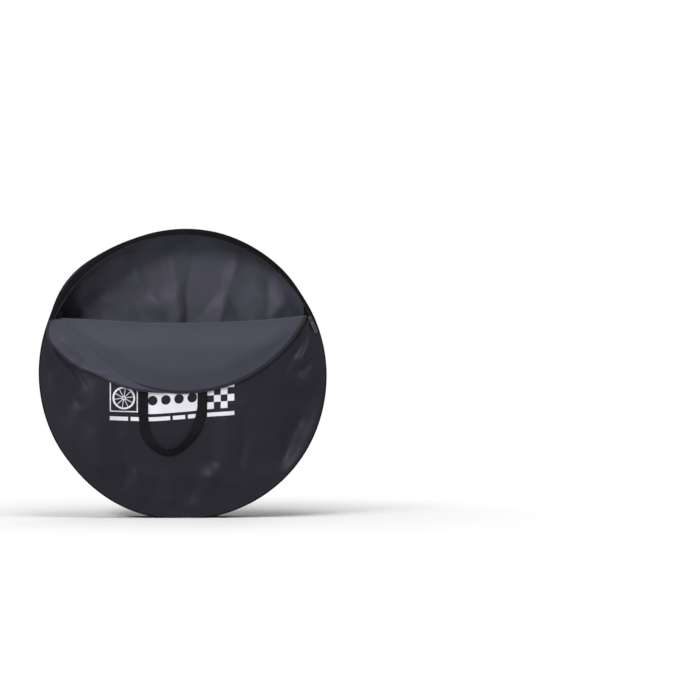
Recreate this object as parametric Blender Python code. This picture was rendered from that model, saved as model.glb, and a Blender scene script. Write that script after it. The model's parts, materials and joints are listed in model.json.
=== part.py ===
"""Round cloth bag for one bicycle wheel, standing on its rim with the front flap unzipped and folded down.

Frame: metres, +Z up, +X to the right, the front faces -Y. The bag stands on z = 0 at the middle of its base.
Every flat piece is a shape in the XZ plane, given a thickness along Y.
"""

import math

import bmesh
import bpy
from mathutils import Matrix, Vector

# Driving dimensions, in metres.
bag_diameter = 0.770  # across the piped edge
bag_depth = 0.110  # front face to back face
base_width = 0.110  # flat stretch of the gusset that stands on the floor
cloth = 0.0015  # coated nylon with its lining
fit_gap = 0.0003  # between pieces that touch
run_gap = 0.0003  # between the slider and the zip that it runs on
hang_gap = 0.0008  # free space behind the hanging handle
piping_diameter = 0.0044
binding_width = 0.008
binding_thickness = 0.001

fold_rise = 0.160  # fold line above the middle of the bag
zip_inset = 0.015  # middle line of the zip, in from the piped edge
row_split = 0.002  # the two rows of teeth stand this far apart, for the slider's post
row_width = 0.0026
row_thickness = 0.0018
tooth_length = 0.0011
tooth_pitch = 0.004
tape_width = 0.0125
tape_thickness = 0.001
stop_length = 0.003
stop_proud = 0.0009
tab_length = 0.022
tab_width = 0.021

slider_length = 0.013
slider_width = 0.0105
slider_nose_width = 0.0070
slider_plate = 0.0012
slider_post_length = 0.0042
crown_length = 0.0100
crown_width = 0.0030
crown_thickness = 0.0010
pin_radius = 0.0007
puller_length = 0.040
puller_width = 0.0090
puller_neck_width = 0.0078
puller_thickness = 0.0012
puller_window_width = 0.0042

strap_width = 0.025
strap_thickness = 0.0015
strap_spacing = 0.156  # between the middles of a handle's two straps
front_end_length = 0.085  # sewn end of the front handle, on the flap
front_over_rim = 0.010  # the front handle bends this far outside the closed bag's edge
front_reach = 0.1425  # front handle from its bend to the far side of its loop
rear_end_length = 0.065
rear_bend_rise = 0.300  # bend of the rear handle above the middle of the bag
rear_reach = 0.215

film_width = 0.334
film_height = 0.118
film_left = 0.198  # the print's left side, left of the middle of the bag
film_top_drop = 0.005  # the print's upper side, below the middle of the bag
film_thickness = 0.0003

outline_steps = 120
loop_steps = 28
piping_sides = 8
seat_lift_share = 0.05

# Radii about the middle of the bag.
bag_radius = bag_diameter / 2
piping_radius = piping_diameter / 2
piping_path_radius = bag_radius - piping_radius
gusset_radius = piping_path_radius + cloth / 2
panel_radius = bag_radius - piping_diameter - fit_gap
zip_radius = bag_radius - zip_inset
middle_z = math.sqrt(gusset_radius**2 - (base_width / 2) ** 2)
fold_z = middle_z + fold_rise

# Layers along Y, counted from the front face of the closed bag, positive to the inside.
row_proud = max(0.0, row_thickness - cloth)
tape_front = cloth + fit_gap
tape_back = tape_front + tape_thickness
strap_inner = -row_proud - fit_gap
strap_outer = strap_inner - strap_thickness
crease_radius = (fit_gap + strap_thickness + row_proud + hang_gap + film_thickness + fit_gap) / 2 - fit_gap
fold_layer = -(crease_radius + fit_gap)
plate_inner = -row_proud - run_gap
plate_outer = plate_inner - slider_plate
pin_layer = plate_outer - run_gap - pin_radius
crown_inner = pin_layer - pin_radius - run_gap
crown_outer = crown_inner - crown_thickness
back_plate_inner = tape_back + run_gap
back_plate_outer = back_plate_inner + slider_plate

# The bag stands with the middle of its whole depth, straps and slider included, on y = 0.
front_reach_out = max(-(2 * fold_layer - tape_back), -crown_outer)
rear_reach_out = 2 * (fit_gap + strap_thickness)
front_y = (front_reach_out - rear_reach_out - bag_depth) / 2
rear_y = front_y + bag_depth
fold_y = front_y + fold_layer
gusset_front_y = front_y + piping_diameter + fit_gap
gusset_rear_y = rear_y - piping_diameter - fit_gap

# Where the zip and its slider end.
slider_drop = math.hypot(slider_length, slider_width) / 2 + crease_radius + fit_gap
slider_angle = math.asin((fold_rise - slider_drop) / zip_radius)
stop_angle = slider_angle - (slider_length / 2 + run_gap) / zip_radius
tail_angle = stop_angle - (stop_length + fit_gap) / zip_radius

# Above the fold, the flap's teeth and its curved edge start where its tape does. Between there and the fold,
# the flap's corner and the bend stop short of the puller, which lies past them along the zip.
flap_edge_radius = zip_radius - row_split / 2 - row_width - fit_gap
flap_tape_radius = zip_radius - row_split / 2 - tape_width
flap_start = math.asin((fold_rise + fit_gap) / flap_tape_radius)
puller_edge = zip_radius - puller_width / 2 - 2 * fit_gap
corner_reach = (puller_edge - (fold_rise + crease_radius) * math.sin(slider_angle)) / math.cos(slider_angle)

# Handles.
front_bend_rise = math.sqrt(bag_radius**2 - ((strap_spacing - strap_width) / 2) ** 2) + front_over_rim
strap_joint = strap_thickness / 2 + fit_gap

COLOURS = {
    "outer_cloth": (0.024, 0.024, 0.029, 0.62),
    "inner_cloth": (0.066, 0.066, 0.078, 0.72),
    "edge_cloth": (0.007, 0.007, 0.009, 0.60),
    "webbing": (0.010, 0.010, 0.012, 0.80),
    "zip_tape": (0.010, 0.010, 0.012, 0.85),
    "zip_teeth": (0.016, 0.016, 0.018, 0.40),
    "zip_metal": (0.110, 0.110, 0.118, 0.35),
    "print": (0.760, 0.760, 0.780, 0.60),
}


def clear_scene():
    for obj in list(bpy.data.objects):
        bpy.data.objects.remove(obj, do_unlink=True)


def material_for(name, finish):
    red, green, blue, rough = COLOURS[finish]
    material = bpy.data.materials.new(name + "_" + finish)
    material.use_nodes = True
    shader = material.node_tree.nodes["Principled BSDF"]
    shader.inputs["Base Color"].default_value = (red, green, blue, 1.0)
    shader.inputs["Roughness"].default_value = rough
    shader.inputs["Metallic"].default_value = 1.0 if finish == "zip_metal" else 0.0
    return material


def pivot(name, place):
    empty = bpy.data.objects.new(name, None)
    empty.location = place
    empty.empty_display_size = strap_width
    bpy.context.scene.collection.objects.link(empty)
    return empty


def make(name, points, faces, finish, joint=None, smooth=False, turn=None):
    """One closed mesh object, its points in world metres, hung on its joint's empty if it moves."""
    mesh = bpy.data.meshes.new(name)
    mesh.from_pydata([tuple(point) for point in points], [], faces)
    if turn is not None:
        mesh.transform(turn)
    work = bmesh.new()
    work.from_mesh(mesh)
    bmesh.ops.recalc_face_normals(work, faces=work.faces)
    work.to_mesh(mesh)
    work.free()
    if smooth:
        mesh.shade_smooth()
        mesh.set_sharp_from_angle(angle=math.radians(40))
    mesh.materials.append(material_for(name, finish))
    obj = bpy.data.objects.new(name, mesh)
    bpy.context.scene.collection.objects.link(obj)
    if joint is not None:
        mesh.transform(Matrix.Translation(-joint.location))
        obj.parent = joint
    return obj


def bag_point(angle, radius, lift):
    """(x, z) on a ring about the bag's middle, with its lowest stretch flat at this height above the floor."""
    sine = math.sin(angle)
    if sine < 0:
        radius = min(radius, (middle_z - lift) / -sine)
    return radius * math.cos(angle), middle_z + radius * sine


def arc(start, end, steps):
    return [start + (end - start) * i / steps for i in range(steps + 1)]


def ring_angles(start, end):
    """Even steps from start to end, with the two corners of the flat base among them."""
    steps = max(2, round(outline_steps * (end - start) / math.tau))
    angles = arc(start, end, steps)
    half = math.acos(middle_z / gusset_radius)
    for corner in (1.5 * math.pi - half, 1.5 * math.pi + half, -0.5 * math.pi - half, -0.5 * math.pi + half):
        if start < corner < end:
            angles.append(corner)
    return sorted(angles)


def band(name, inner, outer, near, far, finish, joint=None, closed=False):
    """A strip between two lists of (x, z) points, from y = near to y = far."""
    points = []
    for (inner_x, inner_z), (outer_x, outer_z) in zip(inner, outer):
        points += [(inner_x, near, inner_z), (outer_x, near, outer_z), (outer_x, far, outer_z), (inner_x, far, inner_z)]
    count = len(inner)
    faces = []
    for i in range(count if closed else count - 1):
        here, then = 4 * i, 4 * ((i + 1) % count)
        for side in range(4):
            other = (side + 1) % 4
            faces.append((here + side, here + other, then + other, then + side))
    if not closed:
        faces += [(0, 1, 2, 3), tuple(4 * (count - 1) + side for side in range(4))]
    return make(name, points, faces, finish, joint)


def plate(name, outline, near, far, finish, joint=None, turn=None):
    """A flat piece with this (x, z) outline, from y = near to y = far."""
    count = len(outline)
    points = [(x, near, z) for x, z in outline] + [(x, far, z) for x, z in outline]
    faces = [tuple(range(count)), tuple(range(count, 2 * count))]
    for i in range(count):
        then = (i + 1) % count
        faces.append((i, then, count + then, count + i))
    return make(name, points, faces, finish, joint, turn=turn)


def box_outline(left, right, low, high):
    return [(left, low), (right, low), (right, high), (left, high)]


def turned_up(outline):
    """The outline as it lies when the flap is folded down: mirrored about the fold line."""
    return [(x, 2 * fold_z - z) for x, z in outline]


def folded(near, far):
    """A pair of layers of the closed bag, as they lie when the flap is folded down."""
    return 2 * fold_y - (front_y + far), 2 * fold_y - (front_y + near)


def cord_ring(name, y, finish):
    """The piping: a round cord that follows the bag's whole outline."""
    angles = ring_angles(0.0, math.tau)[:-1]
    lift = piping_radius * (1 + seat_lift_share)
    points = []
    for angle in angles:
        for side in range(piping_sides):
            turn = math.tau * side / piping_sides
            # Measured along the radius, so that the flat base keeps the same thickness.
            radius = piping_path_radius + piping_radius * math.cos(turn)
            x, z = bag_point(angle, radius, lift - piping_radius * math.cos(turn))
            points.append((x, y + piping_radius * math.sin(turn), z))
    faces = []
    for i in range(len(angles)):
        here, then = piping_sides * i, piping_sides * ((i + 1) % len(angles))
        for side in range(piping_sides):
            other = (side + 1) % piping_sides
            faces.append((here + side, here + other, then + other, then + side))
    return make(name, points, faces, finish, smooth=True)


def strap_loop(name, low_sign, root_z, reach, near, far, joint):
    """A flat strap bent into a U, its two ends at root_z and the far side of its bend this reach away."""
    half = strap_spacing / 2
    bend_z = root_z + low_sign * (reach - half - strap_width / 2)
    inner, outer = [], []
    for radius, side in ((half - strap_width / 2, inner), (half + strap_width / 2, outer)):
        side.append((radius, root_z + low_sign * strap_joint))
        side.append((radius, (root_z + bend_z) / 2))
        for angle in arc(0.0, math.pi, loop_steps):
            side.append((radius * math.cos(angle), bend_z + low_sign * radius * math.sin(angle)))
        side.append((-radius, (root_z + bend_z) / 2))
        side.append((-radius, root_z + low_sign * strap_joint))
    return band(name, inner, outer, near, far, "webbing", joint)


def build_shell():
    whole = ring_angles(0.0, math.tau)[:-1]
    lift = piping_diameter + fit_gap

    def ring(angles, radius, rise=0.0):
        return [bag_point(angle, radius, rise) for angle in angles]

    plate("back_panel", ring(whole, panel_radius, lift), rear_y - cloth, rear_y, "outer_cloth")

    # The front cloth reaches out to the seam below the zip's ends, and leaves a slot for the zip above them.
    slot_radius = zip_radius - row_split / 2
    panel_top = fold_z - fit_gap - crease_radius / 2
    top_angle = math.asin((panel_top - middle_z) / slot_radius)
    low_angle = tail_angle - fit_gap / zip_radius
    outline = ring(ring_angles(math.pi - low_angle, math.tau + low_angle), panel_radius, lift)
    outline += ring(arc(low_angle, top_angle, 3), slot_radius)
    outline += ring(arc(math.pi - top_angle, math.pi - low_angle, 3), slot_radius)
    plate("front_panel", outline, front_y, front_y + cloth, "outer_cloth")

    mouth = ring_angles(tail_angle, math.pi - tail_angle)
    border_radius = zip_radius + row_split / 2 + row_width + fit_gap
    band("front_border", ring(mouth, border_radius), ring(mouth, panel_radius), front_y, front_y + cloth, "edge_cloth")

    inner_radius = gusset_radius - cloth
    upper = ring_angles(tail_angle, math.pi - tail_angle)
    lower = ring_angles(math.pi - low_angle, math.tau + low_angle)
    for name, angles in (("gusset_upper", upper), ("gusset_lower", lower)):
        inner, outer = ring(angles, inner_radius, cloth), ring(angles, gusset_radius)
        band(name, inner, outer, gusset_front_y, gusset_rear_y, "outer_cloth")

    cord_ring("piping_front", front_y + piping_radius, "edge_cloth")
    cord_ring("piping_back", rear_y - piping_radius, "edge_cloth")

    over = inner_radius - fit_gap
    for name, near in (
        ("binding_front", gusset_front_y + fit_gap),
        ("binding_back", gusset_rear_y - fit_gap - binding_width),
    ):
        inner = ring(whole, over - binding_thickness, cloth + fit_gap + binding_thickness)
        outer = ring(whole, over, cloth + fit_gap)
        band(name, inner, outer, near, near + binding_width, "edge_cloth", closed=True)

    left, top = -film_left, middle_z - film_top_drop
    film = box_outline(left, left + film_width, top - film_height, top)
    plate("print_film", film, front_y - fit_gap - film_thickness, front_y - fit_gap, "print")


def toothed(start, end, tip, root):
    """Angles and radii of a zigzag edge: one tooth for each pitch along the zip."""
    teeth = max(2, round((end - start) * zip_radius / tooth_pitch))
    angles = arc(start, end, 2 * teeth)
    return angles, [tip if i % 2 else root for i in range(len(angles))]


def build_zip(flap_joint):
    def at(angle, radius):
        return bag_point(angle, radius, 0.0)

    span = arc(tail_angle, math.pi - tail_angle, 44)
    near_edge = zip_radius + row_split / 2
    band(
        "zip_tape_rim",
        [at(angle, near_edge) for angle in span],
        [at(angle, panel_radius) for angle in span],
        front_y + tape_front,
        front_y + tape_back,
        "zip_tape",
    )
    angles, radii = toothed(stop_angle, math.pi - stop_angle, near_edge, near_edge + tooth_length)
    band(
        "zip_row_rim",
        [at(angle, radius) for angle, radius in zip(angles, radii)],
        [at(angle, near_edge + row_width) for angle in angles],
        front_y + cloth - row_thickness,
        front_y + cloth,
        "zip_teeth",
    )
    for name, start in (("zip_stop_right", tail_angle), ("zip_stop_left", math.pi - stop_angle + fit_gap / zip_radius)):
        stretch = arc(start, start + stop_length / zip_radius, 2)
        inner = [at(angle, near_edge) for angle in stretch]
        outer = [at(angle, near_edge + row_width) for angle in stretch]
        band(name, inner, outer, front_y - row_proud - stop_proud, front_y + cloth, "zip_metal")

    # A cloth tab is sewn over each end of the zip.
    for name, side in (("zip_tab_right", 1), ("zip_tab_left", -1)):
        top = tail_angle - fit_gap / zip_radius
        middle = top - tab_length / 2 / zip_radius
        radial = Vector((math.cos(middle), math.sin(middle)))
        along = Vector((-radial.y, radial.x))
        centre = radial * zip_radius
        corners = []
        for across, length in ((-1, -1), (1, -1), (1, 1), (-1, 1)):
            corner = centre + radial * (across * tab_width / 2) + along * (length * tab_length / 2)
            corners.append((side * corner.x, middle_z + corner.y))
        near = front_y - fit_gap - tape_thickness
        plate(name, corners, near, front_y - fit_gap, "edge_cloth")

    # The flap's own half of the zip, drawn closed and then folded down with the flap.
    far_edge = zip_radius - row_split / 2
    span = arc(flap_start, math.pi - flap_start, 44)
    near, far = folded(tape_front, tape_back)
    band(
        "zip_tape_flap",
        turned_up([at(angle, flap_tape_radius) for angle in span]),
        turned_up([at(angle, far_edge) for angle in span]),
        near,
        far,
        "zip_tape",
        flap_joint,
    )
    angles, radii = toothed(flap_start, math.pi - flap_start, far_edge, far_edge - tooth_length)
    near, far = folded(cloth - row_thickness, cloth)
    band(
        "zip_row_flap",
        turned_up([at(angle, far_edge - row_width) for angle in angles]),
        turned_up([at(angle, radius) for angle, radius in zip(angles, radii)]),
        near,
        far,
        "zip_teeth",
        flap_joint,
    )


def build_flap(flap_joint):
    outline = [(corner_reach, fold_z)]
    outline += [bag_point(angle, flap_edge_radius, 0.0) for angle in arc(flap_start, math.pi - flap_start, 48)]
    outline += [(-corner_reach, fold_z)]
    near, far = folded(0.0, cloth)
    plate("flap", turned_up(outline), near, far, "inner_cloth", flap_joint)

    # The bend of the cloth on the fold line.
    points, faces, sides = [], [], 12
    for x in (-corner_reach, corner_reach):
        for side in range(sides):
            turn = math.tau * side / sides
            points.append((x, fold_y + crease_radius * math.cos(turn), fold_z + crease_radius * math.sin(turn)))
    for side in range(sides):
        other = (side + 1) % sides
        faces.append((side, other, sides + other, sides + side))
    faces += [tuple(range(sides)), tuple(range(sides, 2 * sides))]
    make("fold_crease", points, faces, "inner_cloth", smooth=True)


def slider_turn():
    """From the slider's own frame (x out of the bag's middle, z along the zip) to its place at the zip's right end."""
    x, z = bag_point(slider_angle, zip_radius, 0.0)
    return Matrix.Translation((x, 0.0, z)) @ Matrix.Rotation(-slider_angle, 4, "Y")


def side_plate(name, outline, left, right, finish, joint, turn):
    """A piece with this (y, z) outline, from x = left to x = right, in the slider's own frame."""
    count = len(outline)
    points = [(left, y, z) for y, z in outline] + [(right, y, z) for y, z in outline]
    faces = [tuple(range(count)), tuple(range(count, 2 * count))]
    for i in range(count):
        then = (i + 1) % count
        faces.append((i, then, count + then, count + i))
    return make(name, points, faces, finish, joint, turn=turn)


def join_to(body, pieces):
    """Adds each piece to the body as one solid, and keeps the piece itself out of the render."""
    for i, piece in enumerate(pieces):
        join = body.modifiers.new("join" + str(i), "BOOLEAN")
        join.operation = "UNION"
        join.solver = "EXACT"
        join.object = piece
        piece.hide_render = True
        piece.display_type = "WIRE"


def build_slider(slider_joint, puller_joint):
    turn = slider_turn()
    half, wide, nose = slider_length / 2, slider_width / 2, slider_nose_width / 2
    post = (row_split - 2 * run_gap) / 2
    # A plate in front of the teeth and one behind the tape, joined by the post between the two rows.
    outline = [(-nose, -half), (nose, -half), (wide, 0.0), (wide, half), (-wide, half), (-wide, 0.0)]
    count = len(outline)
    front = plate(
        "slider_body", outline, front_y + plate_outer, front_y + plate_inner, "zip_metal", slider_joint, turn
    )
    back = plate(
        "slider_back", outline, front_y + back_plate_inner, front_y + back_plate_outer, "zip_metal", slider_joint, turn
    )
    pillar = plate(
        "slider_pillar",
        box_outline(-post, post, half - slider_post_length, half - run_gap),
        front_y + plate_outer + slider_plate / 2,
        front_y + back_plate_outer - slider_plate / 2,
        "zip_metal",
        slider_joint,
        turn,
    )
    join_to(front, (pillar, back))

    arch, thin = crown_length / 2, crown_width / 2
    foot = front_y + plate_outer - fit_gap
    top, under = front_y + crown_outer, front_y + crown_inner
    leg = arch - crown_thickness
    outline = [(foot, -arch), (top + crown_thickness / 2, -arch), (top, -leg), (top, leg)]
    outline += [(top + crown_thickness / 2, arch), (foot, arch), (foot, leg), (under, leg), (under, -leg), (foot, -leg)]
    side_plate("slider_crown", outline, -thin, thin, "zip_metal", slider_joint, turn)

    # The puller lies along the zip, below the slider, with its round pin under the crown.
    window, neck = puller_window_width / 2, puller_neck_width / 2
    body = arch + 2 * run_gap
    near = front_y + pin_layer - puller_thickness / 2
    far = near + puller_thickness
    axle = front_y + pin_layer
    tip = puller_width / 2
    outline = [(-window, 0.0), (-window, -body), (window, -body), (window, 0.0)]
    outline += [(neck, 0.0), (neck, -body)]
    outline += [(tip, -body - neck), (tip, -puller_length + tip / 2), (tip / 2, -puller_length)]
    outline += [(-tip / 2, -puller_length), (-tip, -puller_length + tip / 2), (-tip, -body - neck)]
    outline += [(-neck, -body), (-neck, 0.0)]
    puller = plate("puller", outline, near, far, "zip_metal", puller_joint, turn)
    points, faces, sides = [], [], 12
    for x in (-neck, neck):
        for side in range(sides):
            swing = math.tau * side / sides
            points.append((x, axle + pin_radius * math.cos(swing), pin_radius * math.sin(swing)))
    for side in range(sides):
        other = (side + 1) % sides
        faces.append((side, other, sides + other, sides + side))
    faces += [tuple(range(sides)), tuple(range(sides, 2 * sides))]
    pin = make("puller_pin", points, faces, "zip_metal", puller_joint, turn=turn)
    join_to(puller, (pin,))


def build_front_handle(flap_joint, handle_joint):
    near, far = folded(strap_outer, strap_inner)
    bend_z = 2 * fold_z - (middle_z + front_bend_rise)
    half = strap_spacing / 2
    for name, side in (("front_handle_end_left", -1), ("front_handle_end_right", 1)):
        outline = box_outline(
            side * half - strap_width / 2,
            side * half + strap_width / 2,
            bend_z + strap_joint,
            bend_z + front_end_length,
        )
        plate(name, outline, near, far, "webbing", flap_joint)
    strap_loop("front_handle_loop", -1, bend_z, front_reach, near, far, handle_joint)


def build_rear_handle(handle_joint):
    bend_z = middle_z + rear_bend_rise
    half = strap_spacing / 2
    near = rear_y + fit_gap
    for name, side in (("rear_handle_end_left", -1), ("rear_handle_end_right", 1)):
        outline = box_outline(
            side * half - strap_width / 2,
            side * half + strap_width / 2,
            bend_z - rear_end_length,
            bend_z - fit_gap,
        )
        plate(name, outline, near, near + strap_thickness, "webbing")
    far = near + strap_thickness + fit_gap
    strap_loop("rear_handle_loop", -1, bend_z, rear_reach, far, far + strap_thickness, handle_joint)


def main():
    clear_scene()
    bpy.context.scene.unit_settings.system = "METRIC"
    bend_z = 2 * fold_z - (middle_z + front_bend_rise)
    strap_near, strap_far = folded(strap_outer, strap_inner)
    flap_joint = pivot("flap_pivot", (0.0, fold_y, fold_z))
    slider_joint = pivot("slider_pivot", (0.0, front_y, middle_z))
    slider_x, slider_z = bag_point(slider_angle, zip_radius, 0.0)
    puller_joint = pivot("puller_pivot", (slider_x, front_y + pin_layer, slider_z))
    front_joint = pivot("front_handle_pivot", (0.0, (strap_near + strap_far) / 2, bend_z))
    rear_strap = rear_y + fit_gap + strap_thickness + fit_gap / 2
    rear_joint = pivot("rear_handle_pivot", (0.0, rear_strap, middle_z + rear_bend_rise))
    build_shell()
    build_zip(flap_joint)
    build_flap(flap_joint)
    build_slider(slider_joint, puller_joint)
    build_front_handle(flap_joint, front_joint)
    build_rear_handle(rear_joint)


if __name__ == "__main__":
    main()
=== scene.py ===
"""A round cloth bag for a bicycle wheel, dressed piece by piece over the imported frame."""

import json
import logging
import math
from contextlib import contextmanager
from dataclasses import dataclass, field
from enum import Enum
from typing import Callable, Iterator, Optional, Sequence

import bmesh
import bpy
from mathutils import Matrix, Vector, noise
from mathutils.geometry import delaunay_2d_cdt


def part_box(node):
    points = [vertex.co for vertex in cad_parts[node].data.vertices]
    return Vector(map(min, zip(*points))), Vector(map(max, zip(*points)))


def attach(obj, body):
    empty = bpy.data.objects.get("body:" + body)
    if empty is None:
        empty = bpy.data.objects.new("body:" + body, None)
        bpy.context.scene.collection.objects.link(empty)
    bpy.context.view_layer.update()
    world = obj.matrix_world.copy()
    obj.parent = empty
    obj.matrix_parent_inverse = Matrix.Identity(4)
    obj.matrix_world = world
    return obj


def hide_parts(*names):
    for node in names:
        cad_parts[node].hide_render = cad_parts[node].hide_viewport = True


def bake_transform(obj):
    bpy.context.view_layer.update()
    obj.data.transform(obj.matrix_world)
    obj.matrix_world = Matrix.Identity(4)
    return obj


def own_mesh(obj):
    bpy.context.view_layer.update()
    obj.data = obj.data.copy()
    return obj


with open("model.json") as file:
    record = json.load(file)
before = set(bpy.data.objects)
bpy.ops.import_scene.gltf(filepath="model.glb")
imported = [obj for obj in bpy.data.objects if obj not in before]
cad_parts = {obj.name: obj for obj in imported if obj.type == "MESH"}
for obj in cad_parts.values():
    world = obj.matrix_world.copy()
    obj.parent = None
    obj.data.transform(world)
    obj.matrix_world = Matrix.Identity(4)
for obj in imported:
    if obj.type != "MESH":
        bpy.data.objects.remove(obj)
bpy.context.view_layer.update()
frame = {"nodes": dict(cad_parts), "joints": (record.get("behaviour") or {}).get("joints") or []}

JOINTS = {joint["name"]: joint for joint in frame["joints"]}
log = logging.getLogger("bag")

Point2 = tuple[float, float]
Point3 = tuple[float, float, float]
Wave = tuple[float, float, float]
Box2 = tuple[Point2, Point2]
Facing = Callable[[Vector], Vector]
Piece = bpy.types.Object
Tree = bpy.types.NodeTree
Node = bpy.types.Node
Socket = bpy.types.NodeSocket


class Part(Enum):
    """The moving bodies of the bag."""

    BAG = "bag"
    FLAP = "flap"
    SLIDER = "slider"
    PULLER = "puller"
    FRONT_HANDLE = "front_handle"
    REAR_HANDLE = "rear_handle"


class Side(Enum):
    """The two round faces of the bag."""

    FRONT = "front"
    BACK = "back"


# Small helpers for shapes


def smooth_step(value: float) -> float:
    """Goes from 0 to 1 with a level start and end."""
    value = min(1.0, max(0.0, value))
    return value * value * (3.0 - 2.0 * value)


def above_floor(height: float, floor: float, soft: float = 0.004) -> float:
    """Lifts a height softly, so that it never goes under the floor."""
    over = height - floor
    return floor + 0.5 * (over + math.hypot(over, soft))


def on_circle(radius: float, angle: float) -> Point2:
    """The place at this radius and angle."""
    return radius * math.cos(angle), radius * math.sin(angle)


def past_box(x: float, z: float, box: Box2) -> float:
    """How far (x, z) lies outside a box of (left, right) and (low, high), 0 inside it."""
    (left, right), (low, high) = box
    return math.hypot(max(0.0, left - x, x - right), max(0.0, low - z, z - high))


def ripple(x: float, z: float, size: float, seed: float) -> float:
    """Smooth unevenness between -1 and 1.

    Args:
        x: place across, in metres.
        z: place up, in metres.
        size: rough width of one bump, in metres.
        seed: picks another pattern.

    Returns:
        The unevenness at that place.
    """
    return noise.noise(Vector((x / size, z / size, seed)))


def sway(x: float, z: float, wave: Wave) -> float:
    """Smooth unevenness of this height, size and seed."""
    height, size, seed = wave
    return height * ripple(x, z, size, seed)


def crumple(x: float, z: float, wave: Wave) -> float:
    """Unevenness of this height, size and seed with narrow crests, as in thin cloth.

    Args:
        x: place across, in metres.
        z: place up, in metres.
        wave: the crests' height, size and seed.

    Returns:
        The unevenness at that place.
    """
    height, size, seed = wave
    level, slope, rounding = 0.85, 3.6, 0.0025
    across = ripple(x, z, size, seed)
    return height * (level - slope * math.sqrt(across * across + rounding))


def through(table: Sequence[Point2], at: float, period: float = 0.0) -> float:
    """Reads a table of (place, value) pairs as a smooth line.

    Args:
        table: pairs with rising places.
        at: the place to read.
        period: if set, the table closes on itself after this length.

    Returns:
        The value at that place.
    """
    pairs = list(table)
    if period:
        at = (at - pairs[0][0]) % period + pairs[0][0]
        last, first, second = pairs[-1], pairs[0], pairs[1]
        pairs = [(last[0] - period, last[1])] + pairs
        pairs += [(first[0] + period, first[1]), (second[0] + period, second[1])]
    if at <= pairs[0][0]:
        return pairs[0][1]
    for i in range(len(pairs) - 1):
        (low, here), (high, then) = pairs[i], pairs[i + 1]
        if at <= high:
            before, after = pairs[max(0, i - 1)], pairs[min(len(pairs) - 1, i + 2)]
            rise_in = (then - before[1]) / (high - before[0]) * (high - low)
            rise_out = (after[1] - here) / (after[0] - low) * (high - low)
            t = (at - low) / (high - low)
            bend = (2 * t**3 - 3 * t**2 + 1) * here + (3 * t**2 - 2 * t**3) * then
            return bend + (t**3 - 2 * t**2 + t) * rise_in + (t**3 - t**2) * rise_out
    return pairs[-1][1]


def spread(low: float, high: float, steps: int) -> list[float]:
    """Evenly spread values from low to high, both included."""
    return [low + (high - low) * i / steps for i in range(steps + 1)]


def smooth_line(marks: Sequence[Point3], steps: int, fine: int = 24) -> list[Vector]:
    """A smooth line through the marks, evenly spaced.

    Args:
        marks: the places that it passes.
        steps: how many equal steps it has.
        fine: from how many places between two marks it is measured.

    Returns:
        The places of the steps, both ends included.
    """
    dense: list[Vector] = []
    pts = [Vector(mark) for mark in marks]
    pts = [pts[0] * 2 - pts[1]] + pts + [pts[-1] * 2 - pts[-2]]
    for i in range(1, len(pts) - 2):
        a, b, c, d = pts[i - 1 : i + 3]
        square, cube = 2 * a - 5 * b + 4 * c - d, 3 * b - a - 3 * c + d
        for t in spread(0.0, 1.0, fine)[:-1]:
            dense.append(0.5 * ((2 * b) + (c - a) * t + square * t**2 + cube * t**3))
    dense.append(pts[-2])
    total = [0.0]
    for a, b in zip(dense, dense[1:]):
        total.append(total[-1] + (b - a).length)
    out, k = [], 0
    for run in spread(0.0, total[-1], steps):
        while k < len(total) - 2 and total[k + 1] < run:
            k += 1
        gap = total[k + 1] - total[k] or 1.0
        out.append(dense[k].lerp(dense[k + 1], (run - total[k]) / gap))
    return out


def forward(_: Vector) -> Vector:
    """Out of the bag's front, from anywhere."""
    return Vector((0, -1, 0))


def rearward(_: Vector) -> Vector:
    """Out of the bag's back, from anywhere."""
    return Vector((0, 1, 0))


# Places and lines of the bag


@dataclass(frozen=True)
class Places:
    """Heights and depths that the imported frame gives, with the zip's own sizes."""

    front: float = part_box("front_panel")[0].y
    rear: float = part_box("back_panel")[1].y
    middle: float = JOINTS["slider_run"]["pos_m"][2]
    fold_y: float = JOINTS["flap_fold"]["pos_m"][1]
    fold_z: float = JOINTS["flap_fold"]["pos_m"][2]
    zip_radius: float = 0.370
    row_gap: float = 0.001
    row_width: float = 0.0026
    zip_end: float = math.radians(22.33)
    flap_edge: float = 0.3661

    def turned(self, z: float) -> float:
        """Height of a place of the closed flap once it is folded down."""
        return 2 * self.fold_z - z

    def turned_y(self, y: float) -> float:
        """Depth of a place of the closed flap once it is folded down."""
        return 2 * self.fold_y - y

    def closed(self, z: float) -> float:
        """The closed flap's height for a height of the hanging flap, both over the bag's middle."""
        return 2 * (self.fold_z - self.middle) - z

    def outward(self, place: Vector) -> Vector:
        """Away from the bag's middle line."""
        return Vector((place.x, 0.0, place.z - self.middle))

    def inward(self, place: Vector) -> Vector:
        """Towards the bag's middle line."""
        return -self.outward(place)

    def arc(self, radius: float, start: float, end: float, y: float, steps: int = 220) -> list[Point3]:
        """An arc about the bag's middle."""
        turns = [on_circle(radius, angle) for angle in spread(start, end, steps)]
        return [(x, y, self.middle + z) for x, z in turns]


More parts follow.
